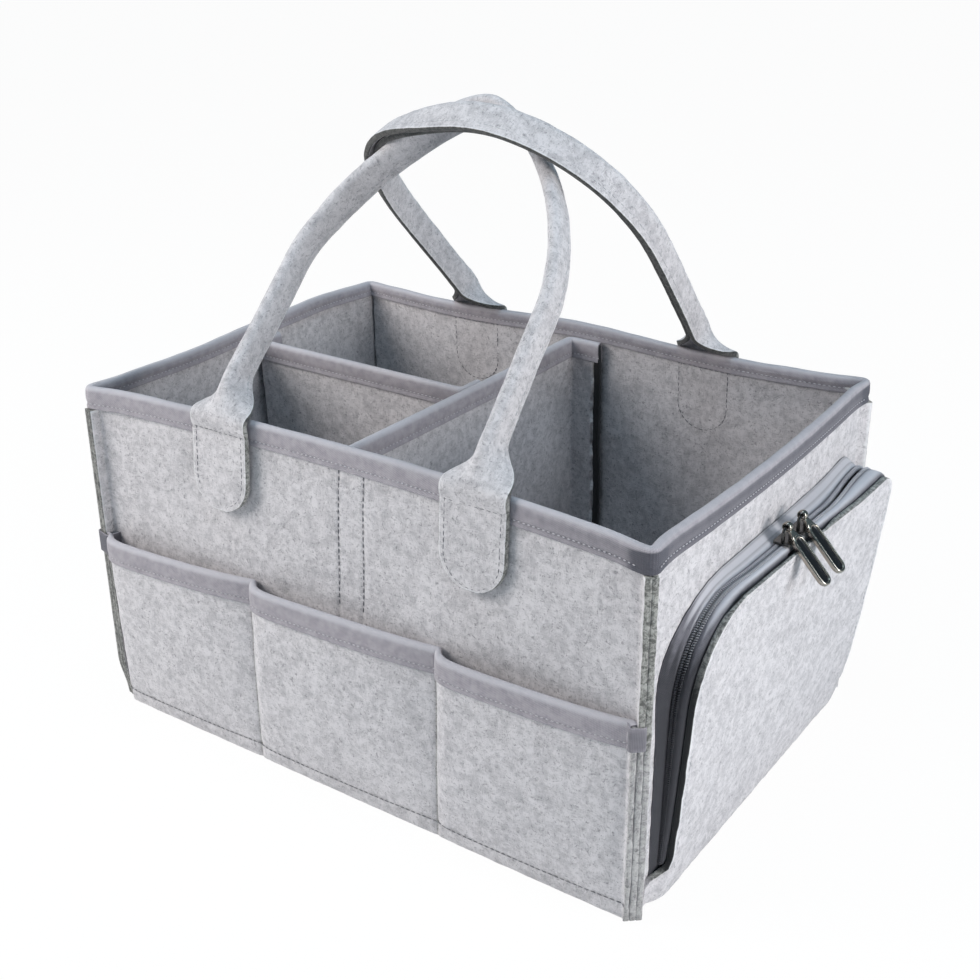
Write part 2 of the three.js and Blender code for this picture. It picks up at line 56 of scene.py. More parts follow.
camera_lens = bpy.data.cameras.new("camera")
camera_lens.sensor_width = sensor
camera_lens.lens = sensor * camera_focal_frames
camera = bpy.data.objects.new("camera", camera_lens)
level = Euler((math.pi / 2 - camera_rise, 0, camera_turn)).to_matrix()
tilted = level @ Matrix.Rotation(camera_roll, 3, "Z")
camera.matrix_world = Matrix.LocRotScale(Vector(camera_place), tilted, None)
bpy.context.collection.objects.link(camera)
bpy.context.scene.camera = camera
bpy.context.scene.view_settings.view_transform = "Standard"


def soft_lamp(name, place, aim, width, watts, tint):
    lamp = bpy.data.lights.new(name, "AREA")
    lamp.shape = "DISK"
    lamp.size = width
    lamp.energy = watts
    lamp.color = tint
    stand = bpy.data.objects.new(name, lamp)
    stand.location = place
    stand.rotation_euler = (Vector(aim) - Vector(place)).to_track_quat("-Z", "Y").to_euler()
    bpy.context.collection.objects.link(stand)


aim = (0, 0, 0.1)
soft_lamp("key_lamp", (-0.9, -0.8, 0.85), aim, 0.9, 18.2, (1.0, 0.955, 0.92))
soft_lamp("side_lamp", (1.4, -0.15, 0.3), aim, 0.5, 10.6, (1.0, 0.965, 0.935))
soft_lamp("fill_lamp", (1.25, 0.15, 0.8), aim, 0.5, 5.5, (0.86, 0.93, 1.0))
soft_lamp("top_lamp", (0, -0.1, 1.4), aim, 0.6, 4.6, (0.66, 0.86, 1.0))


class Term:
    """A socket of a node tree. Sums and products of terms add Math nodes to the tree."""

    def __init__(self, nodes, socket):
        self.nodes = nodes
        self.socket = socket

    def math(self, operation, first, second):
        return self.nodes.add("ShaderNodeMath", {"operation": operation}, {0: first, 1: second})

    def __add__(self, other):
        return self.math("ADD", self, other)

    def __rsub__(self, other):
        return self.math("SUBTRACT", other, self)

    def __mul__(self, other):
        return self.math("MULTIPLY", self, other)


class Nodes:
    """A node tree that nodes are added to by type, settings and the values of their sockets."""

    def __init__(self, tree):
        self.tree = tree

    def add(self, kind, settings=None, inputs=None, output=0):
        node = self.tree.nodes.new(kind)
        for name, value in (settings or {}).items():
            setattr(node, name, value)
        self.fill(node, inputs or {})
        return Term(self, node.outputs[output])

    def fill(self, node, inputs):
        for name, value in inputs.items():
            if isinstance(value, Term):
                self.tree.links.new(value.socket, node.inputs[name])
            else:
                node.inputs[name].default_value = value

    def place(self, output):
        return self.add("ShaderNodeTexCoord", output=output)

    # Reads the marks that hold the tone of cut edges and enamel, painted shade and painted highlights.
    def tone_and_painted_light(self):
        return self.add("ShaderNodeAttribute", {"attribute_name": "tone_and_painted_light"}, output="Fac")

    def moved(self, vector, scale, turn=(0, 0, 0)):
        return self.add("ShaderNodeMapping", None, {"Vector": vector, "Scale": scale, "Rotation": turn})

    def noise(self, vector, scale, detail=2, roughness=0.5, distortion=0):
        values = {"Vector": vector, "Scale": scale, "Detail": detail, "Roughness": roughness}
        return self.add("ShaderNodeTexNoise", None, {**values, "Distortion": distortion})

    def between(self, value, low, high):
        settings = {"interpolation_type": "SMOOTHSTEP"}
        return self.add("ShaderNodeMapRange", settings, {"Value": value, "From Min": low, "From Max": high})

    def mixed(self, share, first, second):
        node = self.tree.nodes.new("ShaderNodeMix")
        node.data_type = "RGBA"
        node.clamp_factor = True
        self.fill(node, {"Factor": share, 6: first, 7: second})
        return Term(self, node.outputs[2])


def shows_white(nodes):
    rays = "ShaderNodeLightPath"
    seen = nodes.add(rays, output="Is Camera Ray") + nodes.add(rays, output="Is Transmission Ray")
    return nodes.add("ShaderNodeClamp", None, {"Value": seen})


surround_light = (0.55, 0.81, 1.0, 1)
surround_strength = 0.23
surround = bpy.data.worlds.new("surround")
surround.use_nodes = True
surround.node_tree.nodes.clear()
sky = Nodes(surround.node_tree)
even_light = sky.add("ShaderNodeBackground", None, {"Color": surround_light, "Strength": surround_strength})
white_sheet = sky.add("ShaderNodeBackground", None, {"Color": (1, 1, 1, 1), "Strength": 1})
sky_shader = sky.add("ShaderNodeMixShader", None, {0: shows_white(sky), 1: even_light, 2: white_sheet})
sky.fill(surround.node_tree.nodes.new("ShaderNodeOutputWorld"), {"Surface": sky_shader})
bpy.context.scene.world = surround

floor_half = 6
floor_shade_kept = 0.035
floor_corners = np.array([(-1, -1, 0), (1, -1, 0), (1, 1, 0), (-1, 1, 0)], float) * floor_half
floor_mesh = bpy.data.meshes.new("floor")
floor_mesh.from_pydata(floor_corners.tolist(), [], [(0, 1, 2, 3)])
floor = bpy.data.objects.new("floor", floor_mesh)
bpy.context.collection.objects.link(floor)
floor_finish = bpy.data.materials.new("pale_floor")
floor_finish.use_nodes = True
floor_finish.node_tree.nodes.clear()
ground = Nodes(floor_finish.node_tree)
matte_white = ground.add("ShaderNodeBsdfDiffuse", None, {"Color": (0.9, 0.9, 0.9, 1)})
plain_white = ground.add("ShaderNodeEmission", None, {"Color": (1, 1, 1, 1), "Strength": 1})
share_white = shows_white(ground) * (1 - floor_shade_kept)
ground_shader = ground.add("ShaderNodeMixShader", None, {0: share_white, 1: matte_white, 2: plain_white})
ground.fill(floor_finish.node_tree.nodes.new("ShaderNodeOutputMaterial"), {"Surface": ground_shader})
floor_mesh.materials.append(floor_finish)

# Base panel: one flat piece of pressed felt, which the walls are sewn round.
# The felt is spun from pale and dark fibres. Its cut edges show the darker core of the board.
box_half = np.array([165.0, 115.0])
box_height = 187.0
felt = 3.0
sewn_gap = 0.3
edge_share = 0.18
edge_growth = felt * edge_share
felt_pale = (0.62, 0.594, 0.606, 1)
felt_mid = (0.407, 0.39, 0.404, 1)
felt_dark = (0.12, 0.115, 0.126, 1)
cut_pale = (0.365, 0.36, 0.338, 1)
cut_deep = (0.104, 0.103, 0.096, 1)
# Painted shadow: the black that marks past 1 turn the felt to, for gaps and shaded edges.
painted_shadow_black = (0.012, 0.012, 0.013, 1)
# Painted highlight: the pale colour mixed in along the edge of each face.
edge_highlight_pale = (0.78, 0.78, 0.79, 1)
edge_highlight = -0.5


def new_finish(name, roughness, metallic=0.0):
    material = bpy.data.materials.new(name)
    material.use_nodes = True
    shader = material.node_tree.nodes["Principled BSDF"]
    shader.inputs["Roughness"].default_value = roughness
    shader.inputs["Metallic"].default_value = metallic
    return material, Nodes(material.node_tree), shader


def melange_felt(name):
    material, nodes, shader = new_finish(name, 0.95)
    shader.inputs["Sheen Weight"].default_value = 0.2
    shader.inputs["Sheen Roughness"].default_value = 0.6
    shader.inputs["Specular IOR Level"].default_value = 0.15
    place = nodes.place("Object")
    swirl = nodes.add("ShaderNodeTexNoise", None, {"Vector": place, "Scale": 90, "Detail": 2}, output="Color")
    shift = nodes.add("ShaderNodeVectorMath", {"operation": "SCALE"}, {0: swirl, "Scale": 0.006})
    tangled = nodes.add("ShaderNodeVectorMath", {"operation": "ADD"}, {0: place, 1: shift})
    blotches = nodes.noise(place, 55, 3, 0.6)
    patches = nodes.noise(tangled, 210, 4, 0.68)
    strands_along = nodes.noise(nodes.moved(tangled, (1, 5, 5), (0.3, 0.5, 0.2)), 330, 2, 0.6, 0.6)
    strands_across = nodes.noise(nodes.moved(tangled, (5, 1, 1.4), (0.2, 0.9, 0.7)), 330, 2, 0.6, 0.6)
    specks = nodes.noise(tangled, 620, 2, 0.55, 0.8)
    mingled = patches * 0.58 + strands_along * 0.22 + strands_across * 0.22 + blotches * 0.16
    shade = nodes.between(mingled, 0.47, 0.73)
    spun = nodes.mixed(shade, felt_pale, felt_mid)
    flecked = nodes.mixed(nodes.between(specks, 0.58, 0.74) * 0.55, spun, felt_dark)
    dark_strands = nodes.between(strands_along * strands_across, 0.32, 0.43) * 0.5
    face = nodes.mixed(dark_strands, flecked, felt_dark)
    raw = nodes.tone_and_painted_light()
    # Marks below 0 mix in the painted edge highlight.
    face_with_highlight = nodes.mixed(nodes.between(raw * -1, 0.05, 0.6) * 0.6, face, edge_highlight_pale)
    core = nodes.mixed(nodes.between(specks * 0.6 + patches * 0.4, 0.38, 0.62), cut_pale, cut_deep)
    cut = nodes.mixed(nodes.between(raw, 0.05, 0.95), face_with_highlight, core)
    # Marks past 1 turn the felt black as painted shadow.
    nodes.fill(shader, {"Base Color": nodes.mixed(nodes.between(raw, 1.05, 2.0), cut, painted_shadow_black)})
    fuzz = nodes.noise(place, 1500, 3, 0.6) * 0.6 + strands_along * 0.7 + strands_across * 0.7
    bump = nodes.add("ShaderNodeBump", None, {"Strength": 0.4, "Distance": 0.0006, "Height": fuzz})
    nodes.fill(shader, {"Normal": bump})
    return material


grey_felt = melange_felt("grey_felt")


def ripple(points, wavelength, seed):
    """Smooth uneven heights of about -1 to 1 over points, from waves that cross each other."""
    draw = np.random.default_rng(seed)
    waves = 9
    total = 0
    for _ in range(waves):
        heading = draw.normal(size=3)
        heading *= 2 * math.pi / (np.linalg.norm(heading) * wavelength * draw.uniform(0.6, 1.6))
        total = total + np.sin(points @ heading + draw.uniform(0, 2 * math.pi))
    return total / math.sqrt(waves)


def step_up(value, low, high):
    share = np.clip((value - low) / (high - low), 0, 1)
    return share * share * (3 - 2 * share)


def hump(distance, width):
    return np.exp(-((distance / width) ** 2))


def unit(vectors):
    lengths = np.linalg.norm(vectors, axis=-1, keepdims=True)
    return vectors / np.maximum(lengths, 1e-9)


def face_normals(middle, closed=False):
    if closed:
        along = np.roll(middle, -1, 1) - np.roll(middle, 1, 1)
    else:
        along = np.gradient(middle, axis=1)
    return unit(np.cross(along, np.gradient(middle, axis=0)))


def sheet(middle, thickness, relief=0.0, closed=False, normals=None, raw=1.0, marks=0.0):
    """Closed shell of a sheet. middle is a grid of points on its middle surface, in millimetres.

    relief lifts both faces, raw tones the cut edges, marks paint shade into creases; past 1 both paint black
    shadow.
    Returns points, faces, UVs and marks.
    """
    rows, columns = middle.shape[:2]
    if normals is None:
        normals = face_normals(middle, closed)
    lift = normals * (thickness / 2 + np.broadcast_to(np.asarray(relief, float), (rows, columns)))[..., None]
    spans = np.linalg.norm(np.diff(middle, axis=1), axis=2).mean(0)
    rises = np.linalg.norm(np.diff(middle, axis=0), axis=2).mean(1)
    u, v = np.meshgrid(np.append(0, np.cumsum(spans)), np.append(0, np.cumsum(rises)))
    flat = np.stack([u, v], 2).reshape(-1, 2) / 1000
    index = np.arange(rows * columns).reshape(rows, columns)
    right = np.roll(index, -1, 1) if closed else index[:, 1:]
    left = index if closed else index[:, :-1]
    quads = np.stack([left[:-1], right[:-1], right[1:], left[1:]], 2).reshape(-1, 4)
    count = rows * columns
    downward = unit(middle[0] - middle[1])
    upward = unit(middle[-1] - middle[-2])
    if closed:
        rims = [(index[0], downward), (index[-1][::-1], upward[::-1])]
    else:
        ring = np.concatenate([index[0, :-1], index[:-1, -1], index[-1, :0:-1], index[:0:-1, 0]])
        outward = np.zeros((rows, columns, 3))
        outward[0] += downward
        outward[-1] += upward
        outward[:, 0] += unit(middle[:, 0] - middle[:, 1])
        outward[:, -1] += unit(middle[:, -1] - middle[:, -2])
        rims = [(ring, unit(outward.reshape(-1, 3)[ring]))]
    face_marks = np.array(np.broadcast_to(np.asarray(marks, float), (rows, columns))).reshape(-1)
    cut = np.broadcast_to(np.asarray(raw, float), (rows, columns)).reshape(-1)
    # Painted highlight: the points along each cut edge of a face are marked paler.
    for ring, _ in rims:
        face_marks[ring] += np.clip(cut[ring], 0, 1) * edge_highlight
    points = [(middle + lift).reshape(-1, 3), (middle - lift).reshape(-1, 3)]
    uvs = [flat, flat]
    tones = [face_marks, face_marks]
    faces = [quads, quads[:, ::-1] + count]
    total = 2 * count
    for ring, outward in rims:
        loops = [ring]
        for out_share, up_share in ((0.6, 0.93), (1, 0.6), (1, 0), (1, -0.6), (0.6, -0.93)):
            out = outward * thickness * edge_share * out_share
            up = lift.reshape(-1, 3)[ring] * up_share
            points.append(middle.reshape(-1, 3)[ring] + out + up)
            uvs.append(flat[ring])
            tones.append(cut[ring])
            loops.append(total + np.arange(len(ring)))
            total += len(ring)
        loops.append(ring + count)
        for upper, lower in zip(loops[:-1], loops[1:]):
            faces.append(np.stack([upper, lower, np.roll(lower, -1), np.roll(upper, -1)], 1))
    return np.concatenate(points), np.concatenate(faces), np.concatenate(uvs), np.concatenate(tones)


def piece(name, shells, finish):
    """One object in metres from shells in millimetres, with its faces pointing outwards."""
    faces = []
    start = 0
    for points, quads, _, _ in shells:
        a, b, c, d = (points[quads[:, k]] for k in range(4))
        volume = np.sum(np.cross(b - a, c - a) * a) + np.sum(np.cross(c - a, d - a) * a)
        faces.append((quads if volume > 0 else quads[:, ::-1]) + start)
        start += len(points)
    corners = np.concatenate(faces)
    points, _, uvs, tones = (np.concatenate(field) for field in zip(*shells))
    mesh = bpy.data.meshes.new(name)
    mesh.from_pydata((points / 1000).tolist(), [], corners.tolist())
    corner_uvs = uvs[corners.reshape(-1)].astype(np.float32).reshape(-1)
    mesh.uv_layers.new(name="cloth").data.foreach_set("uv", corner_uvs)
    mesh.attributes.new("tone_and_painted_light", "FLOAT", "POINT").data.foreach_set("value", tones.astype(np.float32))
    mesh.polygons.foreach_set("use_smooth", [True] * len(mesh.polygons))
    mesh.materials.append(finish)
    thing = bpy.data.objects.new(name, mesh)
    bpy.context.collection.objects.link(thing)
    return thing


def fixed(thing, body, slot, *nodes):
    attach(thing, body)
    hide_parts(*nodes)
    return thing


def spread(low, high, step, *dense):
    """Stops from low to high, closer together round the dense places."""
    stops = list(np.linspace(low, high, round((high - low) / step) + 1))
    for place in dense:
        stops = [s for s in stops if abs(s - place) > 3.2 or s in (low, high)]
        stops += [place + gap for gap in (-2.4, -1.2, -0.5, 0, 0.5, 1.2, 2.4) if low < place + gap < high]
    return np.array(sorted(stops))


base_half = box_half - felt - sewn_gap - edge_growth
base_step = 5
base_x, base_y = np.meshgrid(*[spread(-half, half, base_step) for half in base_half])
base_middle = np.stack([base_x, base_y, np.full_like(base_x, felt / 2)], 2)
base = fixed(piece("base_felt", [sheet(base_middle, felt)], grey_felt), "caddy", "felt", "base_panel")

# Walls: four panels of the same felt. At the corners they turn out and are sewn face to face as a
# raw standing seam. The long rims draw in towards the middle, and the ends belly out.
seam_turns = {-1: math.radians(76), 1: math.radians(50)}
seam_headings = {end: np.array([math.cos(turn), math.sin(turn)]) for end, turn in seam_turns.items()}
seam_asides = {end: np.array([-heading[1], heading[0]]) for end, heading in seam_headings.items()}
seam_start = box_half - felt
seam_allowance = 8.0
pinched = felt - 0.1
seam_trim = {-1: 0.75, 1: 0.2}
trim_from = 2.5
trim_top = 26.0
trim_x_from, trim_x_to = seam_start[0] - 6, seam_start[0] - 2
fin_top = 174.4
fin_from, fin_to = 1.5, 3.0
raw_low = 0.55
raw_from, raw_to = 85.0, 105.0
left_edge_shade = 1.4
raw_left_from = 1.0
seam_mark, seam_mark_width = 0.25, 0.7
wall_top = 181.5
wall_rows = 58
plan_step = 2.8
side_reach, side_step = 160.0, 3.2
draw_in = 10.0
end_belly = 4.0
wall_slack, slack_wave = 0.9, 95.0
held_place, held_width = -5.0, 48.0
held_out, held_up = 8.0, 2.0
held_from, held_to = 40.0, 105.0
left_bow, left_bow_place, left_bow_width = 4.5, 75.0, 30.0
left_dip, left_dip_place, left_dip_width = 5.5, -45.0, 45.0
fold_radius = 3.0
soft_reach = box_half - 8
divider_rows = (-5.0, 10.0)
divider_row_low, divider_row_high = 107.0, 174.0
tab_row_top = 178.0
thread_lift = 0.48
tab_outline = {"x": 76.0, "half": 15.0, "low": 156.0, "high": 180.0}
seams = {}


def sew(body, thread, *rows):
    seams.setdefault((body, thread), []).extend(rows)


def settle(points):
    """The set that the sewn walls take, with the slack of hand-fed felt."""
    x, y, z = np.moveaxis(np.asarray(points, float), -1, 0)
    rise = np.maximum(z, 0) / box_height
    along_side = np.clip(1 - (x / soft_reach[0]) ** 2, 0, None)
    across_end = np.clip(1 - (y / soft_reach[1]) ** 2, 0, None)
    slack = ripple(np.stack([x, 0.2 * y, z], -1), slack_wave, 4) * wall_slack * np.minimum(rise * 2, 1)
    held = hump(x - held_place, held_width) * step_up(y, held_from, held_to)
    inward = y / box_half[1] * (draw_in * rise ** 2 * along_side + slack * along_side)
    inward = inward - held_out * rise ** 2 * held
    bow = left_bow * hump(y - left_bow_place, left_bow_width)
    dip = left_dip * hump(y - left_dip_place, left_dip_width)
    uneven = (x < 0) * (bow - dip)
    belly = (end_belly * across_end + uneven) * rise ** 4 + 0.5 * slack * across_end
    return np.stack([x + x / box_half[0] * belly, y - inward, z + held_up * rise ** 4 * held], -1)


def past_corner(points):
    """Distance of points out along the standing seam of their corner, and that seam's direction."""
    heading = np.where(points[..., :1] < 0, seam_headings[-1], seam_headings[1])
    return np.sum((abs(points[..., :2]) - seam_start) * heading, -1), heading


def trim_seams(points):
    """The corner seams are cut back near the foot, most on the left."""
    reach, heading = past_corner(points)
    trim = np.where(points[..., 0] < 0, seam_trim[-1], seam_trim[1])
    trim = trim * step_up(abs(points[..., 0]), trim_x_from, trim_x_to)
    cut = np.maximum(reach - trim_from, 0) * trim * (1 - step_up(points[..., 2], 0, trim_top))
    points[..., :2] -= np.sign(points[..., :2]) * heading * cut[..., None]
    return points


def groove(distance, depth=0.4, width=1.3):
    return -depth * hump(distance, width)


def felt_relief(middle, seed):
    return 0.13 * ripple(middle, 11, seed) + 0.08 * ripple(middle, 5, seed + 50)


def rounded(corners, radii, step, closed=False):
    """A path through corners in plan, with each corner rounded and no stretch over a step."""
    corners = [np.array(c, float) for c in corners]
    count = len(corners)
    radii = np.broadcast_to(radii, count)
    points = []
    for i, corner in enumerate(corners):
        if not closed and i in (0, count - 1):
            points.append(corner)
            continue
        back = unit(corners[i - 1] - corner)
        onward = unit(corners[(i + 1) % count] - corner)
        half = math.acos(np.clip(back @ onward, -1, 1)) / 2
        centre = corner + unit(back + onward) * radii[i] / math.sin(half)
        start = corner + back * radii[i] / math.tan(half) - centre
        turn = (math.pi - 2 * half) * np.sign(onward[0] * back[1] - onward[1] * back[0])
        for share in np.linspace(0, 1, 8):
            c, s = math.cos(turn * share), math.sin(turn * share)
            points.append(centre + np.array([c * start[0] - s * start[1], s * start[0] + c * start[1]]))
    if closed:
        points.append(points[0])
    dense = []
    for here, there in zip(points[:-1], points[1:]):
        pieces = max(1, round(np.linalg.norm(there - here) / step))
        dense += [here + (there - here) * k / pieces for k in range(pieces)]
    return np.array(dense if closed else dense + [points[-1]])


def side_path(side, outside, stops):
    """Plan of a layer along a long side, from left to right: straight, and turned out at the corners."""
    level = box_half[1] - felt / 2 + outside
    turned = {}
    for end, heading in seam_headings.items():
        tip = seam_start + heading * (seam_allowance - edge_growth)
        tip = tip + seam_asides[end] * (pinched * (0.5 if outside == 0 else 1.5))
        turn = tip + heading * (level - tip[1]) / heading[1]
        turned[end] = rounded([turn - [4, 0], turn, tip], fold_radius, 0.9) * [end, 1]
    first, last = turned[-1][0, 0] + 0.6, turned[1][0, 0] - 0.6
    straight = np.array([(x, level) for x in stops if first < x < last])
    return np.vstack([turned[-1][::-1], straight, turned[1]]) * [1, side]


def standing(path, foot, crown, rows):
    """Grid of points of a panel that stands on a plan path, from its foot to its crown."""
    crown = np.broadcast_to(crown, len(path))
    lines = [np.column_stack([path, foot + (crown - foot) * share]) for share in np.linspace(0, 1, rows)]
    return np.stack(lines)


def seam_gap(points):
    """Distance of points past the line where the corner seams are sewn."""
    return past_corner(points)[0] - trim_from


def fin_crown(path):
    """Height of a wall along its plan path: lower past the corners, under the rim tape."""
    return wall_top - (wall_top - fin_top) * step_up(past_corner(path)[0], fin_from, fin_to)


def wall_middle(path):
    return settle(trim_seams(standing(path, edge_growth, fin_crown(path), wall_rows)))


def long_wall_surface(side):
    def surface(x, z):
        return settle(np.stack([x, np.full_like(x, side * (box_half[1] - felt / 2)), z], -1))
    return surface


def row_on(surface, lift, *tracks):
    """A stitch row lying on a surface, lifted off its middle by half a sheet."""
    a, b = (np.asarray(track, float) for track in np.broadcast_arrays(*tracks))
    here = surface(a, b)
    nudge = 0.3
    normal = unit(np.cross(surface(a + nudge, b) - here, surface(a, b + nudge) - here))
    return here + normal * lift


def tab_stitches():
    """The sewn U of a handle's tab and the row across its top, aside and up."""
    half, low, high = (tab_outline[key] for key in ("half", "low", "high"))
    bend = np.linspace(math.pi, 2 * math.pi, 40)
    left = np.column_stack([np.full(20, -half), np.linspace(high, low, 20)])
    foot = np.column_stack([half * np.cos(bend), low + half * np.sin(bend)])
    across = np.column_stack([np.linspace(-half, half, 30), np.full(30, high)])
    return np.vstack([left, foot[1:-1], left[::-1] * [-1, 1]]), across


def wall_panel(name, middle, seed, lines):
    relief = felt_relief(middle, seed) + groove(lines, 0.35, 1.0)
    # Painted shade: the left seams' cut edges are pushed towards black, and seam_mark darkens the seams and
    # stitch rows.
    left_seam = (middle[..., 0] < 0) & (past_corner(middle)[0] > raw_left_from)
    raw_up = raw_low + (1 - raw_low) * step_up(middle[..., 2], raw_from, raw_to)
    raw = np.where(left_seam, left_edge_shade, raw_up)
    shell = sheet(middle, felt, relief, raw=raw, marks=seam_mark * hump(lines, seam_mark_width))
    panel = piece(f"{name}_felt", [shell], grey_felt)
    fixed(panel, "caddy", "felt", name)


for wall, side in (("front", -1), ("back", 1)):
    path = side_path(side, 0, spread(-side_reach, side_reach, side_step, *divider_rows))
    middle = wall_middle(path)
    lines = np.minimum(abs(middle[..., 0] - divider_rows[0]), abs(middle[..., 0] - divider_rows[1]))
    lines = np.minimum(lines, abs(seam_gap(middle)))
    wall_panel(f"{wall}_wall", middle, 10 + side, lines)
    outside = -side * felt / 2
    surface = long_wall_surface(side)
    for x in divider_rows:
        heights = np.linspace(divider_row_low, divider_row_high, 60)
        sew("caddy", "dark", row_on(surface, outside, x, heights))
    for x in (-tab_outline["x"], tab_outline["x"]):
        for row in tab_stitches():
            heights = np.minimum(row[:, 1], tab_row_top)
            sew("caddy", "dark", row_on(surface, -outside, x + row[:, 0], heights))

for wall, end in (("left", -1), ("right", 1)):
    plate_x = box_half[0] - felt / 2
    heading = seam_headings[end]
    tip = seam_start + heading * (seam_allowance - edge_growth) - seam_asides[end] * pinched / 2
    turn = tip + heading * (plate_x - tip[0]) / heading[0]
    corners = [tip * [1, -1], turn * [1, -1], turn, tip]
    path = rounded(corners, fold_radius, plan_step) * [end, 1]
    middle = wall_middle(path)
    lines = abs(seam_gap(middle))
    wall_panel(f"{wall}_wall", middle, 20 + end, lines)

# Dividers: a cross panel from front to back with its ends folded along the long walls, and a short
# panel from the left end to it. They are the same felt, sewn through, and stand on the base.
divider_top = 178.0
divider_foot = felt + sewn_gap + edge_growth
divider_x = -9.0
divider_y = 6.0
divider_flap = 17.0
divider_skew = 4.0
divider_back_flap = 20.0
divider_grid_rows = 52
# Painted shadow: marks that turn the flaps' free ends and cut edges black for the gap to the wall.
dark_edge, dark_mark = (3.2, 2.8), 2.5
edge_shadow_mark = 2.0
tape = 0.8
layers_apart = 2 * (tape + sewn_gap) + sewn_gap
flap_y = box_half[1] - felt - layers_apart - felt / 2
short_from = -box_half[0] + felt + layers_apart + felt / 2
short_to = divider_x - felt - layers_apart
flap_reach_x = divider_x + divider_flap - edge_growth
flap_reach_y = divider_y + divider_flap - edge_growth
cross_path = rounded([
    (flap_reach_x - divider_skew, -flap_y), (divider_x - divider_skew, -flap_y),
    (divider_x, flap_y), (divider_x + divider_back_flap, flap_y),
], fold_radius, plan_step)
short_path = rounded([
    (short_from, flap_reach_y), (short_from, divider_y), (short_to, divider_y), (short_to, flap_reach_y),
], fold_radius, plan_step)
for name, path, seed, flat in (
    ("cross", cross_path, 31, (0.255, 0.174)), ("short", short_path, 32, (0.178, 0.174)),
):
    # The last columns at the free end get a black painted shadow.
    heading = unit(path[-1] - path[-2])
    dark_columns = [path[-1] - heading * gap for gap in dark_edge]
    path = np.vstack([path[:-1], *dark_columns, path[-1]])
    middle = settle(standing(path, divider_foot, divider_top - edge_growth - tape, divider_grid_rows))
    marks = np.append(np.zeros(len(path) - 2), [dark_mark, dark_mark])
    shell = sheet(middle, felt, felt_relief(middle, seed), raw=edge_shadow_mark, marks=marks)
    panel = piece(f"{name}_divider_felt", [shell], grey_felt)
    fixed(panel, "caddy", "felt", f"{name}_divider")

# Bindings: woven tape folded over the raw top edges and sewn down near its lower edge in a paler
# thread. It is a shade darker than the felt, with a fine rib across it.
# Its top fold is paler by a painted highlight, and painted shade darkens its stitch groove and lower lip.
tape_pale = (0.388, 0.36, 0.386, 1)
tape_deep = (0.267, 0.249, 0.274, 1)
tape_highlight = (0.525, 0.505, 0.535, 1)
tape_crease = (0.055, 0.056, 0.072, 1)
rib_pitch = 0.0007
rim_tape = 11.5
rim_tape_inside = 8.5
rim_corner = 4.5
rim_flare, rim_flare_width = 3.5, 9.0
rim_flare_back = {-1: 0.2, 1: 0.9}
# Painted shade: crease marks at the right corners, darkening towards the right and over the right end.
rim_crease_width, rim_crease_mark, rim_crease_depth = 4.5, 1.1, 0.35
rim_face_from, rim_face_to = 0.8, 3.0
rim_right_shade_most, rim_right_shade_from, rim_right_shade_to = 0.36, 20.0, 150.0
rim_end_mark, rim_end_from, rim_end_to = 0.3, 150.0, 162.0
rim_uneven, rim_wave = 0.1, 20
corner_unsewn, least_run = 4, 8
tape_raw = 0.3
divider_tape = 11.0
divider_tape_lift = 1
stitched = 3


def woven_tape(name, pale, deep, fold, crease, pitch):
    material, nodes, shader = new_finish(name, 0.8)
    shader.inputs["Sheen Weight"].default_value = 0.15
    shader.inputs["Specular IOR Level"].default_value = 0.2
    cloth = nodes.place("UV")
    wave_scale = 2 * math.pi / (20 * pitch)
    bands = {"wave_type": "BANDS", "bands_direction": "X"}
    warp = nodes.add("ShaderNodeTexWave", bands, {"Vector": cloth, "Scale": wave_scale}, output="Fac")
    slope = nodes.moved(cloth, (1, 1, 1), (0, 0, 0.9))
    weft = nodes.add("ShaderNodeTexWave", bands, {"Vector": slope, "Scale": wave_scale}, output="Fac")
    dye = nodes.noise(nodes.place("Object"), 240, 3, 0.6)
    weave = warp * 0.5 + weft * 0.5
    woven = nodes.mixed(nodes.between(dye * 0.8 + weave * 0.3, 0.35, 0.8), pale, deep)
    raw = nodes.tone_and_painted_light()
    # Marks below 0 mix in the fold colour, a painted highlight; marks above 0 the crease colour, painted
    # shade in creases and grooves and a darker tone on cut edges.
    with_highlight = nodes.mixed(nodes.between(raw * -1, 0.02, 0.8) * 0.7, woven, fold)
    nodes.fill(shader, {"Base Color": nodes.mixed(nodes.between(raw, 0.02, 1) * 0.9, with_highlight, crease)})
    bump = nodes.add("ShaderNodeBump", None, {"Strength": 0.5, "Distance": 0.0003, "Height": weave})
    nodes.fill(shader, {"Normal": bump})
    return material


grey_tape = woven_tape("grey_tape", tape_pale, tape_deep, tape_highlight, tape_crease, rib_pitch)


def tape_leg(drop):
    """Middle line of one side of a folded tape, from its lower edge up: offset, height and mark, which paints
    shade above 0 and a highlight below 0.
    """
    side = felt / 2 + 0.2 + tape / 2
    leg = [(side + 0.35, -drop, 0.25), (side + 0.3, -drop + 0.9, 0.0), (side + 0.05, -drop + 1.8, 0.1)]
    leg += [(side - 0.12, -drop + 2.5, 0.3), (side + 0.08, -drop + 3.3, 0.05), (side + 0.3, -drop + 4.6, 0.0)]
    leg += [(side + 0.25, -drop * 0.4, 0.1), (side + 0.1, -3.0, 0.0), (side - 0.05, -1.9, -0.4)]
    return leg + [(side - 0.5, -1.0, -0.7), (side - 1.2, -0.5, -0.8)]


def tape_section(outer, inner):
    far_leg = [(-offset, height, mark) for offset, height, mark in tape_leg(inner)]
    return np.array(tape_leg(outer) + [(0, -tape / 2, -0.8)] + far_leg[::-1])


def path_aside(path, closed=False):
    """Plan directions to the right of a path."""
    if closed:
        heading = unit(np.roll(path, -1, 0) - np.roll(path, 1, 0))
    else:
        heading = unit(np.gradient(path, axis=0))
    return np.column_stack([heading[:, 1], -heading[:, 0]])


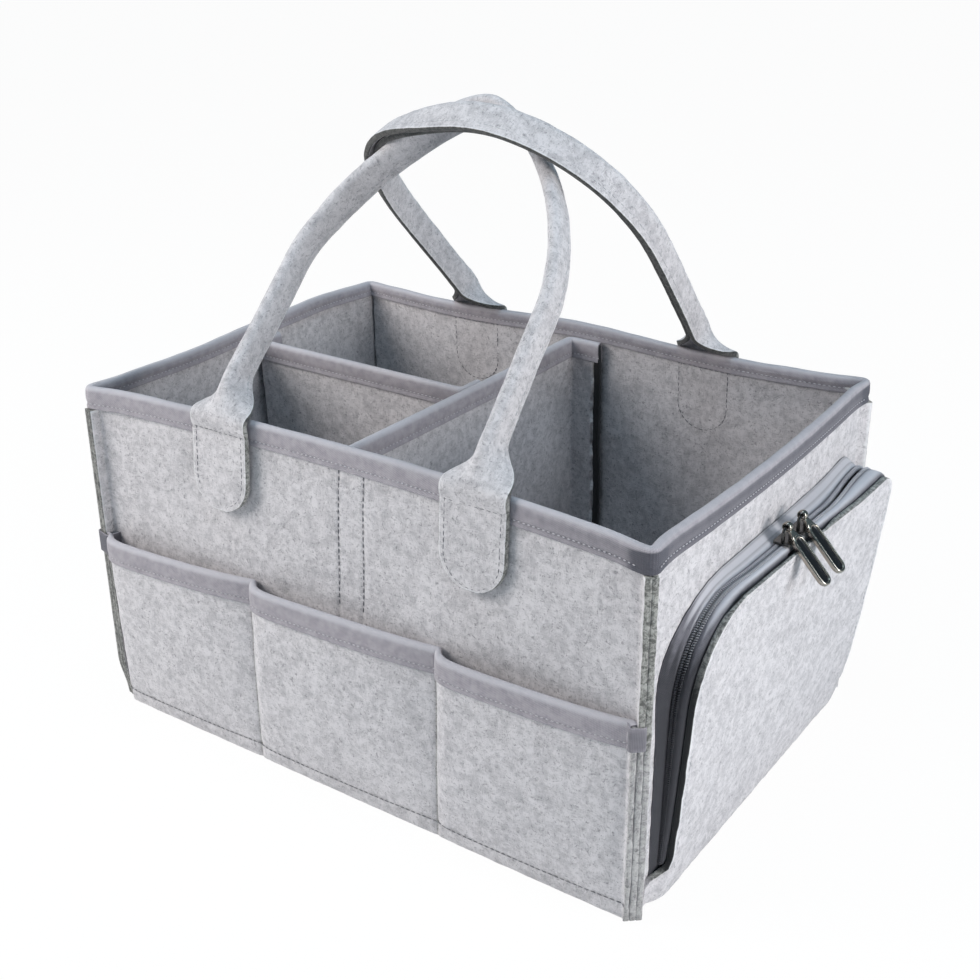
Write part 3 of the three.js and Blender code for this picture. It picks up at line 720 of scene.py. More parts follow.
def folded_over(path, aside, top, section):
    """Grid of a tape folded over an edge that follows a plan path."""
    return np.stack([
        np.column_stack([path + aside * offset, np.full(len(path), top + z)]) for offset, z, _ in section
    ])


def tape_rows(middle, aside):
    """The stitch rows on both sides of a folded tape."""
    off = np.column_stack([aside, np.zeros(len(aside))]) * tape * 0.55
    return middle[stitched] + off, middle[-1 - stitched] - off


rim_half = box_half - felt / 2
rim_round = rim_corner - felt / 2
rim_corners = np.array([(-1, -1), (1, -1), (1, 1), (-1, 1)]) * rim_half
rim_path = rounded(rim_corners, rim_round, 3.2, True)
corner_gap = np.linalg.norm(abs(rim_path) - rim_half, axis=1)
back_flare = np.where(rim_path[:, 0] > 0, rim_flare_back[1], rim_flare_back[-1])
flare = rim_flare * hump(corner_gap, rim_flare_width) * np.where(rim_path[:, 1] < 0, 1, back_flare)
rim_path = rim_path + np.sign(rim_path) * seam_headings[1] * flare[:, None]
rim_section = tape_section(rim_tape, rim_tape_inside)
rim_aside = path_aside(rim_path, True)
rim_middle = settle(folded_over(rim_path, rim_aside, box_height, rim_section))
# Painted shade on the outside of the tape in the right corners' creases and towards the right, and on the
# whole tape over the right end.
rim_crease = hump(corner_gap - corner_gap.min(), rim_crease_width) * (rim_path[:, 0] > 0)
rim_face = step_up(-rim_section[:, 1], rim_face_from, rim_face_to)
rim_outside = rim_face[:, None] * (rim_section[:, :1] > 0)
rim_right_shade = rim_right_shade_most * step_up(rim_path[:, 0], rim_right_shade_from, rim_right_shade_to)
rim_marks = rim_section[:, 2:] + (rim_crease_mark * rim_crease + rim_right_shade) * rim_outside
rim_marks = rim_marks + rim_end_mark * step_up(rim_path[:, 0], rim_end_from, rim_end_to)
rim_relief = rim_uneven * ripple(rim_middle, rim_wave, 41) - rim_crease_depth * rim_crease * rim_outside
rim_shell = sheet(rim_middle, tape, rim_relief, True, raw=tape_raw, marks=rim_marks)
rim = fixed(piece("rim_tape", [rim_shell], grey_tape), "caddy", "binding", "rim_binding")
for row in tape_rows(rim_middle, rim_aside):
    runs = np.split(row, np.where(corner_gap < corner_unsewn)[0])
    sew("caddy", "pale", *[run for run in runs if len(run) > least_run])

for name, path, long in (("cross", cross_path, 0.255), ("short", short_path, 0.178)):
    aside = path_aside(path)
    section = tape_section(divider_tape, divider_tape)
    middle = settle(folded_over(path, aside, divider_top + divider_tape_lift, section))
    shell = sheet(middle, tape, raw=tape_raw, marks=section[:, 2:])
    band = piece(f"{name}_divider_tape", [shell], grey_tape)
    fixed(band, "caddy", "binding", f"{name}_divider_binding")
    sew("caddy", "pale", *tape_rows(middle, aside))

# Outside pockets: a felt strip along each long side, sewn at its ends, along its foot and at two
# seams, so that each pocket stands out in a pleat at one seam and slopes back to the next.
pocket_top = 105.0
pocket_tape = 12.5
pocket_tape_inside = 9.0
pocket_seam = 58.0
pocket_end = 159.3
pocket_belly = 7.5
pocket_pleat = 24
pocket_seams = np.array([-pocket_end, -pocket_seam, pocket_seam, pocket_end])
pocket_layer = felt + tape + 2 * sewn_gap
pleat_stops = (0, 4, 9)
pocket_row_shift = 0.6
pocket_end_row = 4
pocket_raw_left = -158.0
foot_stitch = 8.5
foot_mark, foot_mark_width = 0.3, 0.8
pleat_mark, pleat_mark_width = 0.75, 0.6
wrap_outer, wrap_tip, wrap_back = 6.6, 8.8, 3.0
wrap_round, wrap_step, wrap_rows = 1.2, 1.5, 6
wrap_foot, wrap_crown = pocket_top - pocket_tape + 0.4, pocket_top - 0.5
wrap_inner = {-1: -3.6, 1: -0.4}
# Painted shade darkens the tape where it wraps round the corner seams, most on the left.
wrap_marks = {-1: 0.85, 1: 0.6}


def swell(side, x, z):
    """How far the pockets stand off the wall."""
    place = -side * x
    section = np.clip(np.searchsorted(pocket_seams, place, "right") - 1, 0, 2)
    share = (place - pocket_seams[section]) / (pocket_seams[section + 1] - pocket_seams[section])
    share = np.clip(share, 0, 1)
    bow = (1 - (1 - share) ** pocket_pleat) * (1 - share ** 3)
    return side * pocket_belly * bow * np.sqrt(np.maximum(z, 0) / pocket_top)


def swollen(side, path, points):
    points = settle(points)
    points[..., 1] += swell(side, path[:, 0], points[..., 2])
    return points


for wall, side in (("front", -1), ("back", 1)):
    near_seams = [-side * (seam + gap) for seam in pocket_seams[1:3] for gap in pleat_stops]
    stops = spread(-side_reach, side_reach, side_step, *near_seams)
    path = side_path(side, pocket_layer, stops)
    aside = -side * path_aside(path)
    grid = np.stack([
        np.column_stack([path, np.full(len(path), z)])
        for z in spread(edge_growth, pocket_top - edge_growth - tape, side_step, foot_stitch)
    ])
    middle = trim_seams(swollen(side, path, grid))
    across = np.broadcast_to(np.column_stack([aside, np.zeros(len(path))]), middle.shape)
    sewn_gap_x = abs(-side * middle[..., 0, None] - pocket_seams[1:3] + pocket_row_shift).min(-1)
    lines = np.minimum(sewn_gap_x, abs(seam_gap(grid) - pocket_end_row))
    relief = felt_relief(middle, 60 + side) + groove(middle[..., 2] - foot_stitch) + groove(lines, 0.5, 1.0)
    # Painted shade along the foot's stitch groove and in the pleats at the seams; the left end's cut edge is
    # pushed towards black, also painted shade.
    marks = foot_mark * hump(middle[..., 2] - foot_stitch, foot_mark_width)
    marks = marks + pleat_mark * hump(lines, pleat_mark_width)
    raw = np.where(middle[..., 0] < pocket_raw_left, left_edge_shade, raw_low)
    shell = sheet(middle, felt, relief, normals=across, raw=raw, marks=marks)
    strip = piece(f"{wall}_pocket_felt", [shell], grey_felt)
    fixed(strip, "caddy", "felt", f"{wall}_pocket_strip")

    section = tape_section(pocket_tape, pocket_tape_inside)
    band_path = path[1:-1]
    grid = swollen(side, band_path, folded_over(band_path, aside[1:-1], pocket_top, section))
    shells = [sheet(grid, tape, raw=tape_raw, marks=section[:, 2:])]
    for end in (-1, 1):
        inner = wrap_inner[end]
        wrap_corners = [(1, wrap_outer), (wrap_tip, wrap_outer), (wrap_tip, inner), (wrap_back, inner)]
        around = rounded(wrap_corners, wrap_round, wrap_step)
        plan = seam_start + around[:, :1] * seam_headings[end] + around[:, 1:] * seam_asides[end]
        wrap = standing(plan * [end, side], wrap_foot, wrap_crown, wrap_rows)
        shells.append(sheet(wrap, tape, raw=tape_raw, marks=wrap_marks[end]))
    band = piece(f"{wall}_pocket_tape", shells, grey_tape)
    fixed(band, "caddy", "binding", f"{wall}_pocket_binding")
    sew("caddy", "pale", tape_rows(grid, aside[1:-1])[0])
    face = np.column_stack([aside, np.zeros(len(path))]) * felt * 0.47
    foot_row = np.column_stack([path, np.full(len(path), foot_stitch)])
    sew("caddy", "dark", trim_seams(swollen(side, path, foot_row))[1:-1] + face[1:-1])

# Handles: one felt strip each, sewn flat to the wall at both ends with a stitched U. Above the rim
# it folds double along its length, crease outwards, and is sewn shut along the raw edges.
handle_x = tab_outline["x"]
strip_half = 18.0
strap_half = 16.4
tab_foot = 138.0
hinge_y = 109.97
hinge_z = 188.0
handle_lean = math.radians(43.5)
tab_layer = tape + 2 * sewn_gap
fold_radius_length = 3.3
fold_most = math.radians(90.6)
fold_from, fold_to = -4.0, 25.0
fold_sharpness = 1.5
narrow_to = 45
tab_ease = 25
root_bulge, root_bulge_place, root_bulge_width = 2.2, 1, 7
layer_recess, recess_from, recess_to = 2.3, -74, -62
root_crease = -8.0
root_mark, root_mark_width = 0.35, 0.9
strap_edge_shade, tab_raw = 1.7, 1.0
tip_from, tip_to, tip_count = math.radians(14), math.radians(84), 8
tip_beyond = -40.0
arches = {
    "front": {
        "side": -1, "spread": 74.0, "legs": 85.0, "crest": 181.0, "fullness": 1.65,
        "hump": 5.5, "drop": 0.0, "twist": 0.0,
    },
    "back": {
        "side": 1, "spread": 79.0, "legs": 100.0, "crest": 192.5, "fullness": 2.1,
        "hump": 0.0, "drop": 9.0, "twist": -20.0,
    },
}
hump_place, hump_width = -8.0, 26.0
twist_place, twist_width = -45.0, 26.0
twist_from, twist_to = 60, 110
drop_place, drop_width = -25.0, 38.0
half_shares = np.array([1, 0.95, 0.88, 0.79, 0.68, 0.56, 0.45, 0.36, 0.29, 0.23, 0.175, 0.13, 0.085, 0.04])
across_shares = np.concatenate([-half_shares, [0], half_shares[::-1]])
strap_stitch_column = 3
strap_stitch_from = 12.0


def arch_points(arch):
    """Middle line of the strap in the plane of the handle: distance aside and distance up."""
    up = np.linspace(0, arch["legs"], 120)
    leg = np.column_stack([handle_x + (arch["spread"] - handle_x) * step_up(up, 0, arch["legs"]), up])
    angle = np.linspace(0, math.pi, 300)[1:-1]
    power = 2 / arch["fullness"]
    aside = arch["spread"] * np.sign(np.cos(angle)) * abs(np.cos(angle)) ** power
    over = arch["legs"] + (arch["crest"] - arch["legs"]) * np.sin(angle) ** power
    over = over + arch["hump"] * hump(aside - hump_place, hump_width)
    over = over - arch["drop"] * hump(aside - drop_place, drop_width)
    far_leg = leg[::-1] * [-1, 1]
    return np.vstack([leg, np.column_stack([aside, over]), far_leg])[::-1]


def even_steps(points, step):
    gaps = np.linalg.norm(np.diff(points, axis=0), axis=1)
    run = np.append(0, np.cumsum(gaps))
    stops = np.linspace(0, run[-1], round(run[-1] / step) + 1)
    return np.column_stack([np.interp(stops, run, points[:, k]) for k in range(points.shape[1])]), stops


def smoothed(values, reach):
    window = np.hanning(2 * reach + 1)
    head = 2 * values[:1] - values[reach:0:-1]
    tail = 2 * values[-1:] - values[-2:-reach - 2:-1]
    padded = np.vstack([head, values, tail])
    return np.column_stack([np.convolve(padded[:, k], window / window.sum(), "valid") for k in range(3)])


def tab_place(side, heights):
    """Distance of a tab's middle from the middle of the caddy at each height."""
    tab_y = side * (box_half[1] + tab_layer + felt / 2)
    line = np.column_stack([np.full_like(heights, handle_x), np.full_like(heights, tab_y), heights])
    ease = side * hinge_y - settle(np.array([handle_x, tab_y, hinge_z]))[1]
    return settle(line)[:, 1] + ease * step_up(heights, hinge_z - tab_ease, hinge_z)


for name, arch in arches.items():
    side = arch["side"]
    up_plane = np.array([0, -side * math.sin(handle_lean), math.cos(handle_lean)])
    out_plane = np.array([0, side * math.cos(handle_lean), math.sin(handle_lean)])
    rises = np.linspace(tab_foot + strip_half, hinge_z - 1, 30)
    tab_line = np.column_stack([np.full_like(rises, handle_x), tab_place(side, rises), rises])
    plane = arch_points(arch)
    strap = np.array([0, side * hinge_y, hinge_z]) + plane[:, 1:] * up_plane
    strap[:, 0] = plane[:, 0]
    route = np.vstack([tab_line * [-1, 1, 1], strap[1:-1], tab_line[::-1]])
    flat_out = np.tile([0, side, 0], (len(rises), 1))
    outs = np.vstack([flat_out, np.tile(out_plane, (len(strap) - 2, 1)), flat_out])
    both, stops = even_steps(np.hstack([route, outs]), 1.0)
    root = np.linalg.norm(np.diff(tab_line, axis=0), axis=1).sum() + 1
    beyond = np.minimum(stops, stops[-1] - stops) - root
    line = smoothed(both[:, :3], 5)
    line[:, 1] += side * root_bulge * hump(beyond - root_bulge_place, root_bulge_width)
    outs = smoothed(both[:, 3:], 7)
    tangent = unit(np.gradient(line, axis=0))
    outs = unit(outs - tangent * np.sum(outs * tangent, 1)[:, None])
    twist = math.radians(arch["twist"]) * hump(line[:, 0] - twist_place, twist_width)
    twist = twist * step_up(beyond, twist_from, twist_to)
    outs = outs * np.cos(twist)[:, None] + np.cross(tangent, outs) * np.sin(twist)[:, None]
    aside = np.cross(tangent, outs)
    line, tangent, outs, aside, beyond = (field[::2] for field in (line, tangent, outs, aside, beyond))
    folded = step_up(beyond, fold_from, fold_to)
    fold = fold_most * folded
    half = strip_half - (strip_half - strap_half) * step_up(beyond, 0, narrow_to) - edge_growth
    reach = half[:, None] * across_shares
    left_leg = 1 - step_up(line[:, :1], recess_from, recess_to)
    recessed = np.where(across_shares < 0, 1 - left_leg, left_leg) * folded[:, None]
    reach = reach * (1 - layer_recess / half[:, None] * recessed)
    bend = fold[:, None] * np.tanh(reach / fold_radius_length * fold_sharpness)
    steps = np.diff(reach, axis=1)
    mid_bend = (bend[:, 1:] + bend[:, :-1]) / 2
    none = np.zeros((len(line), 1))
    wide = np.hstack([none, np.cumsum(np.cos(mid_bend) * steps, 1)])
    deep = np.hstack([none, np.cumsum(-np.sin(mid_bend) * steps, 1)])
    crease = len(across_shares) // 2
    wide -= wide[:, crease:crease + 1]
    deep -= (deep.max(1) + deep.min(1))[:, None] / 2
    body = line[:, None] + aside[:, None] * wide[..., None] + outs[:, None] * deep[..., None]
    tips = []
    for first, down in ((0, -tangent[0]), (-1, tangent[-1])):
        rows = []
        for angle in np.linspace(tip_from, tip_to, tip_count):
            drop = (strip_half - edge_growth) * math.cos(angle)
            tip_half = (strip_half - edge_growth) * math.sin(angle)
            rows.append(line[first] + down * drop + aside[first] * (tip_half * across_shares)[:, None])
        tips.append(np.array(rows))
    middle = np.concatenate([tips[0], body, tips[1][::-1]])
    tip_rows = np.full(len(tips[0]), tip_beyond)
    along = np.concatenate([tip_rows, beyond, tip_rows])[:, None]
    relief = felt_relief(middle, 80 + side) * 0.7 + groove(along - root_crease, 0.5, 1.2)
    # Painted shade in the root crease, and on the strap's cut edges, which are pushed towards black.
    marks = np.broadcast_to(root_mark * hump(along - root_crease, root_mark_width), relief.shape)
    raw = np.where(along > 0, strap_edge_shade, tab_raw)
    shell = sheet(middle, felt, relief, raw=raw, marks=marks)
    handle = piece(f"{name}_handle_felt", [shell], grey_felt)
    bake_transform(handle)
    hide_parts(f"{name}_handle_strap", f"{name}_handle_tab_left", f"{name}_handle_tab_right")
    normals = face_normals(middle)
    facing = np.sign(np.sum(normals[len(middle) // 2, crease] * out_plane))
    lifted = middle + normals * facing * felt * thread_lift
    sewn_part = along[:, 0] > strap_stitch_from
    for column in (strap_stitch_column, len(across_shares) - 1 - strap_stitch_column):
        sew(f"{name}_handle", "soft", lifted[sewn_part, column])
    for end in (-1, 1):
        for row in tab_stitches():
            tab_face = tab_place(side, row[:, 1]) + side * felt * thread_lift
            sew("caddy", "dark", np.column_stack([end * handle_x + row[:, 0], tab_face, row[:, 1]]))

# Zipped pocket on the right end: two woven tapes with a nylon coil between them run round a felt
# flap that is sewn along its foot. The pocket deepens towards the top and towards the back.
zip_front, zip_back = 98.0, 102.0
zip_top = 146.0
zip_front_corner, zip_back_corner = 45.0, 16.0
zip_end = 20.0
zip_tape_end = 15.5
zip_rise = 3.0
zip_tape_thickness = 1.0
zip_ease, zip_ease_place, zip_ease_width = 0.7, 122.0, 17.0
zip_narrowing, zip_narrow_from = 0.45, 110
zip_rise_across, zip_rise_from, zip_rise_to = 55, 60, 140
pocket_depth = 15.0
pocket_skew = 5.0
pocket_crown = 2.0
depth_power = 0.62
chain_share = (0.6, 0.8)
chain_tuck, tuck_from, tuck_to = -0.2, 35, 80
flap_inset = 1.5
flap_foot = 1.0
flap_set_off = 1.0
flap_stitch = 5.0
flap_stitch_low = 24
flap_row_count, flap_column_count, flap_row_power = 64, 68, 1.6
flap_pressed = 0.7
pressed_heights = (137, 141)
track_front, track_back = (-75, -62), (22, 34)
smooth_heights = (130, 137)
dent_depth, dent_place, dent_size = 0.5, (-14, 122), (3.5, 14)
flap_raw_foot, flap_raw_heights, flap_raw_loss = (14, 20), (100, 146), 1.1
flap_ear, ear_heights = 12.5, (14, 21)
ear_sink, sink_places, sink_heights = 5.0, (96, 108), (14, 22)
# Each row: share of the pocket's depth, offset and mark; marks above 0 paint shade in grooves and on the
# flap's edge, below 0 a painted highlight.
wall_tape_profile = (
    (0.00, 6.4, 0.45), (0.04, 5.8, 0.35), (0.12, 4.6, -0.1), (0.20, 3.6, -0.15), (0.27, 2.7, 0.35),
    (0.33, 1.9, 0.15), (0.38, 1.0, -0.25), (0.43, 0.1, 0.2), (0.50, -0.2, 0.75), (0.57, 0.2, 0.6),
)
flap_tape_profile = (
    (0.83, 0.2, 0.75), (0.86, 0.3, 0.2), (0.91, 0.2, -0.2), (0.96, -0.3, 0.2), (0.98, -1.2, 0.6),
    (0.98, -3.2, 0.8), (0.98, -5.6, 0.8),
)
coil_pitch = 1.15
coil_wire = 0.3
coil_size = (1.25, 0.85)
coil_places = {"wall": 0.60, "flap": 0.79}
zip_pale = (0.17, 0.165, 0.187, 1)
zip_deep = (0.105, 0.102, 0.118, 1)
zip_highlight = (0.74, 0.73, 0.77, 1)
zip_crease = (0.022, 0.022, 0.027, 1)
coil_grey = (0.5, 0.495, 0.53, 1)
coil_dark = (0.05, 0.05, 0.058, 1)
zip_light_from, zip_light_to = 114.0, 148.0
zip_shade, zip_light = 1.05, 1.85
zip_foot_shade, zip_foot_from, zip_foot_to = 0.9, 17, 22
zip_raw = 0.5

zip_cloth = woven_tape("zip_cloth", zip_pale, zip_deep, zip_highlight, zip_crease, 0.0006)
coil_finish, coil_nodes, coil_shader = new_finish("coil_nylon", 0.42)
# Painted shade and light: the coil is dark low down and grey along the top run.
coil_height = coil_nodes.add("ShaderNodeSeparateXYZ", None, {0: coil_nodes.place("Object")}, output="Z")
coil_light = coil_nodes.between(coil_height, zip_light_from / 1000, zip_light_to / 1000)
coil_nodes.fill(coil_shader, {"Base Color": coil_nodes.mixed(coil_light, coil_dark, coil_grey)})


def depth_at(y, z):
    across = np.clip(y / zip_front, -1, 1)
    full = pocket_depth + pocket_skew * across + pocket_crown * across ** 2
    return full * (np.maximum(z, 0) / zip_top) ** depth_power


def zip_lift(y, z):
    return zip_rise * step_up(y, zip_rise_across, zip_back) * step_up(z, zip_rise_from, zip_rise_to)


def zip_route(low):
    corners = [(-zip_front, low), (-zip_front, zip_top), (zip_back, zip_top), (zip_back, low)]
    path = even_steps(rounded(corners, [0, zip_front_corner, zip_back_corner, 0], 2), 2.5)[0]
    return path, zip_outward(path)


def zip_outward(path):
    return -path_aside(path)


def zip_line(path, outward, offset, share):
    """A line round the zip at a share of the pocket's depth, offset from the zip's path."""
    eased = zip_ease * hump(path[:, 1] - zip_ease_place, zip_ease_width) * (path[:, 0] < 0)
    offset = offset * (1 + eased - zip_narrowing * step_up(path[:, 1], zip_narrow_from, zip_top))
    y, z = (path + outward * offset[:, None]).T
    tuck = np.interp(share, (0, *chain_share, 1, 1.1), (0, 1, 1, 0, 0)) * chain_tuck
    share = share + tuck * step_up(abs(path[:, 0]), tuck_from, tuck_to)
    x = box_half[0] + sewn_gap + share * depth_at(*path.T)
    return settle(np.column_stack([x, y, z + zip_lift(y, z)]))


for name, profile, body, low in (
    ("wall", wall_tape_profile, "caddy", zip_tape_end), ("flap", flap_tape_profile, "flap", zip_end),
):
    path, outward = zip_route(low)
    grid = np.stack([zip_line(path, outward, offset, share) for share, offset, _ in profile])
    # Painted shade and light: darker low down and at the foot, paler along the top run, where the fold colour
    # is a painted highlight.
    paler = step_up(path[:, 1], zip_light_from, zip_light_to)
    marks = np.array(profile)[:, 2:] + zip_shade - zip_light * paler
    marks = marks + zip_foot_shade * (1 - step_up(path[:, 1], zip_foot_from, zip_foot_to))
    shell = sheet(grid, zip_tape_thickness, raw=zip_raw, marks=marks)
    band = piece(f"zip_tape_{name}_cloth", [shell], zip_cloth)
    fixed(band, body, "zip_tape", f"zip_tape_{name}")
    long = np.linalg.norm(np.diff(path, axis=0), axis=1).sum() / 1000


def flap_reach(z, spread_y, corner):
    half = spread_y - flap_inset
    round_corner = corner - flap_inset
    up = z - (zip_top - flap_inset - round_corner)
    bent = half - round_corner + np.sqrt(np.maximum(round_corner ** 2 - np.maximum(up, 0) ** 2, 0))
    return np.where(up <= 0, half, bent) + flap_ear * (1 - step_up(z, *ear_heights))


def flap_surface(y, z):
    ear = step_up(abs(y), *sink_places) * (1 - step_up(z, *sink_heights))
    x = box_half[0] + flap_set_off + depth_at(y, z) + felt / 2 - ear_sink * ear
    return settle(np.stack([x, y, z + zip_lift(y, z)], -1))


flap_top = zip_top - flap_inset - 0.4
flap_rows = 1 - (1 - np.linspace(0, 1, flap_row_count)) ** flap_row_power
flap_z = flap_foot + edge_growth + (flap_top - flap_foot - edge_growth) * flap_rows
front_reach = -flap_reach(flap_z, zip_front, zip_front_corner) + edge_growth
back_reach = flap_reach(flap_z, zip_back, zip_back_corner) - edge_growth
flap_across = np.linspace(0, 1, flap_column_count)
grid_z = np.repeat(flap_z[:, None], len(flap_across), 1)
grid_y = front_reach[:, None] + (back_reach - front_reach)[:, None] * flap_across
flap_middle = flap_surface(grid_y, grid_z)
slider_track = step_up(grid_y, *track_front) * (1 - step_up(grid_y, *track_back))
pressed = flap_pressed * slider_track * step_up(grid_z, *pressed_heights)
flap_middle[..., 0] += pressed
pull_dent = hump(grid_y - dent_place[0], dent_size[0]) * hump(grid_z - dent_place[1], dent_size[1])
flap_relief = felt_relief(flap_middle, 90) * (1 - step_up(grid_z, *smooth_heights))
flap_relief = flap_relief - dent_depth * pull_dent - pressed
# Painted shadow: the flap's cut edge is black above the ears, fading to the cut tone near the top.
flap_raw_up = edge_shadow_mark - flap_raw_loss * step_up(grid_z, *flap_raw_heights)
flap_raw = step_up(grid_z, *flap_raw_foot) * flap_raw_up
flap = piece("pocket_flap_felt", [sheet(flap_middle, felt, flap_relief, raw=flap_raw)], grey_felt)
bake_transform(flap)
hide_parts("pocket_flap")
flap_path, flap_outward = zip_route(flap_stitch_low)
flap_row = flap_path - flap_outward * flap_stitch
sew("flap", "soft", flap_surface(*flap_row.T) + np.array([felt * thread_lift, 0, 0]))

# Geometry Nodes trees that sew and wind: a row of thread stitches along each seam line, and the
# nylon monofilament of the coil swept along its own helix.
threads = {
    "dark": {"Stitch Pitch": 0.0032, "Stitch Length": 0.0026, "Thread Width": 0.00055},
    "pale": {"Stitch Pitch": 0.0026, "Stitch Length": 0.0015, "Thread Width": 0.0007},
    "soft": {"Stitch Pitch": 0.0032, "Stitch Length": 0.0024, "Thread Width": 0.0005},
}
thread_tones = {
    "dark": ((0.20, 0.20, 0.215, 1), (0.11, 0.11, 0.12, 1)),
    "pale": ((0.50, 0.48, 0.51, 1), (0.40, 0.385, 0.41, 1)),
    "soft": ((0.46, 0.46, 0.48, 1), (0.36, 0.36, 0.38, 1)),
}


def new_tree(name, sizes):
    """A Geometry Nodes tree with a geometry, named sizes and a material as its inputs."""
    tree = bpy.data.node_groups.new(name, "GeometryNodeTree")
    tree.interface.new_socket("Geometry", in_out="INPUT", socket_type="NodeSocketGeometry")
    tree.interface.new_socket("Geometry", in_out="OUTPUT", socket_type="NodeSocketGeometry")
    for size in sizes:
        tree.interface.new_socket(size, in_out="INPUT", socket_type="NodeSocketFloat")
    tree.interface.new_socket("Material", in_out="INPUT", socket_type="NodeSocketMaterial")
    nodes = Nodes(tree)
    given = tree.nodes.new("NodeGroupInput")
    return tree, nodes, {socket.name: Term(nodes, socket) for socket in given.outputs if socket.name}


def finish_tree(tree, nodes, shape, material):
    smooth = nodes.add("GeometryNodeSetShadeSmooth", None, {"Geometry": shape})
    dressed = nodes.add("GeometryNodeSetMaterial", None, {"Geometry": smooth, "Material": material})
    nodes.fill(tree.nodes.new("NodeGroupOutput"), {0: dressed})


stitch_tree, sewing, given = new_tree("stitch_row", ("Stitch Pitch", "Stitch Length", "Thread Width"))
seam_curve = sewing.add("GeometryNodeMeshToCurve", None, {"Mesh": given["Geometry"]})
along_seam = stitch_tree.nodes.new("GeometryNodeCurveToPoints")
along_seam.mode = "LENGTH"
sewing.fill(along_seam, {"Curve": seam_curve, "Length": given["Stitch Pitch"]})
seam_tangent = Term(sewing, along_seam.outputs["Tangent"])
facing_along = sewing.add("FunctionNodeAlignRotationToVector", {"axis": "Z"}, {"Vector": seam_tangent})
loop_shape = sewing.add("GeometryNodeMeshUVSphere", None, {"Segments": 6, "Rings": 5, "Radius": 0.5})
loop_size = sewing.add(
    "ShaderNodeCombineXYZ", None,
    {"X": given["Thread Width"], "Y": given["Thread Width"], "Z": given["Stitch Length"]},
)
loops = sewing.add("GeometryNodeInstanceOnPoints", None, {
    "Points": Term(sewing, along_seam.outputs["Points"]), "Instance": loop_shape,
    "Rotation": facing_along, "Scale": loop_size,
})
real_loops = sewing.add("GeometryNodeRealizeInstances", None, {"Geometry": loops})
finish_tree(stitch_tree, sewing, real_loops, given["Material"])

coil_tree, winding, given_wire = new_tree("coil_wire", ("Wire Radius",))
wire_curve = winding.add("GeometryNodeMeshToCurve", None, {"Mesh": given_wire["Geometry"]})
wire_round = winding.add(
    "GeometryNodeCurvePrimitiveCircle", None, {"Resolution": 5, "Radius": given_wire["Wire Radius"]}
)
wire = winding.add(
    "GeometryNodeCurveToMesh", None, {"Curve": wire_curve, "Profile Curve": wire_round, "Fill Caps": True}
)
real_wire = winding.add("GeometryNodeRealizeInstances", None, {"Geometry": wire})
finish_tree(coil_tree, winding, real_wire, given_wire["Material"])


def grown(name, lines, tree, values):
    """Runs a tree on lines in millimetres and keeps its result as a plain mesh."""
    points, edges = [], []
    for line in lines:
        start = len(points)
        points += [tuple(p) for p in np.asarray(line) / 1000]
        edges += [(k, k + 1) for k in range(start, len(points) - 1)]
    guide = bpy.data.meshes.new(f"{name}_lines")
    guide.from_pydata(points, edges, [])
    worker = bpy.data.objects.new(f"{name}_lines", guide)
    bpy.context.collection.objects.link(worker)
    modifier = worker.modifiers.new("grow", "NODES")
    modifier.node_group = tree
    for item in tree.interface.items_tree:
        if item.in_out == "INPUT" and item.name in values:
            modifier[item.identifier] = values[item.name]
    ready = worker.evaluated_get(bpy.context.evaluated_depsgraph_get())
    mesh = bpy.data.meshes.new_from_object(ready)
    mesh.name = name
    bpy.data.objects.remove(worker)
    thing = bpy.data.objects.new(name, mesh)
    bpy.context.collection.objects.link(thing)
    return thing


thread_finishes = {}
for thread, (light, shade) in thread_tones.items():
    thread_finishes[thread], thread_nodes, thread_shader = new_finish(f"{thread}_thread", 0.6)
    twist = thread_nodes.noise(thread_nodes.place("Object"), 900, 2)
    thread_nodes.fill(thread_shader, {"Base Color": thread_nodes.mixed(twist, light, shade)})

for (body, thread), rows in seams.items():
    sizes = {**threads[thread], "Material": thread_finishes[thread]}
    stitching = grown(f"{body}_{thread}_stitching", rows, stitch_tree, sizes)
    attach(stitching, body)

chain_path, _ = zip_route(zip_end)
fine_path, run = even_steps(chain_path, coil_pitch / 8)
fine_outward = zip_outward(fine_path)
for name, body in (("wall", "caddy"), ("flap", "flap")):
    turn = 2 * math.pi * run / coil_pitch
    spine = zip_line(fine_path, fine_outward, 0, coil_places[name])
    across_zip = np.column_stack([np.zeros(len(run)), fine_outward])
    helix = spine + across_zip * (coil_size[0] * np.cos(turn))[:, None]
    helix[:, 0] += coil_size[1] * np.sin(turn)
    sizes = {"Wire Radius": coil_wire / 1000, "Material": coil_finish}
    coil = grown(f"zip_coil_{name}_nylon", [helix], coil_tree, sizes)
    fixed(coil, body, "zip_coil", f"zip_coil_{name}")

# Sliders and pulls: cast metal with a dark polished plating. Each pull has an eye round the
# slider's bail, a raised rim and a sunk face with black enamel.
plating_pale = (0.50, 0.455, 0.395, 1)
plating_deep = (0.26, 0.235, 0.20, 1)
slider_pale = (0.16, 0.152, 0.145, 1)
slider_deep = (0.07, 0.066, 0.062, 1)
enamel = (0.008, 0.008, 0.009, 1)
pull_places = {"front": (177.12, -6.0, 154.6), "back": (177.83, 9.5, 154.6)}
pull_slope = math.radians(44)
pull_yaw = math.radians(-7)
pull_from, pull_to = 5.2, 32.0
pull_half = 4.0
pull_rings = (
    (0.9, -1.3, 0), (0.3, -1.2, 0), (0.0, -0.8, 0), (0.0, 0.65, 0), (0.15, 1.05, 0), (0.55, 1.32, 0),
    (1.05, 1.32, 0), (1.3, 1.1, 0.2), (1.45, 0.45, 1), (2.4, 0.4, 1), (3.4, 0.4, 1),
)
neck_stops = ((1.9, 1.5), (3.4, 1.7), (5.0, 2.6), (6.6, 3.4))
neck_deep = 1.05
eye_round, eye_bar, eye_wide = 1.95, 0.55, 1.6


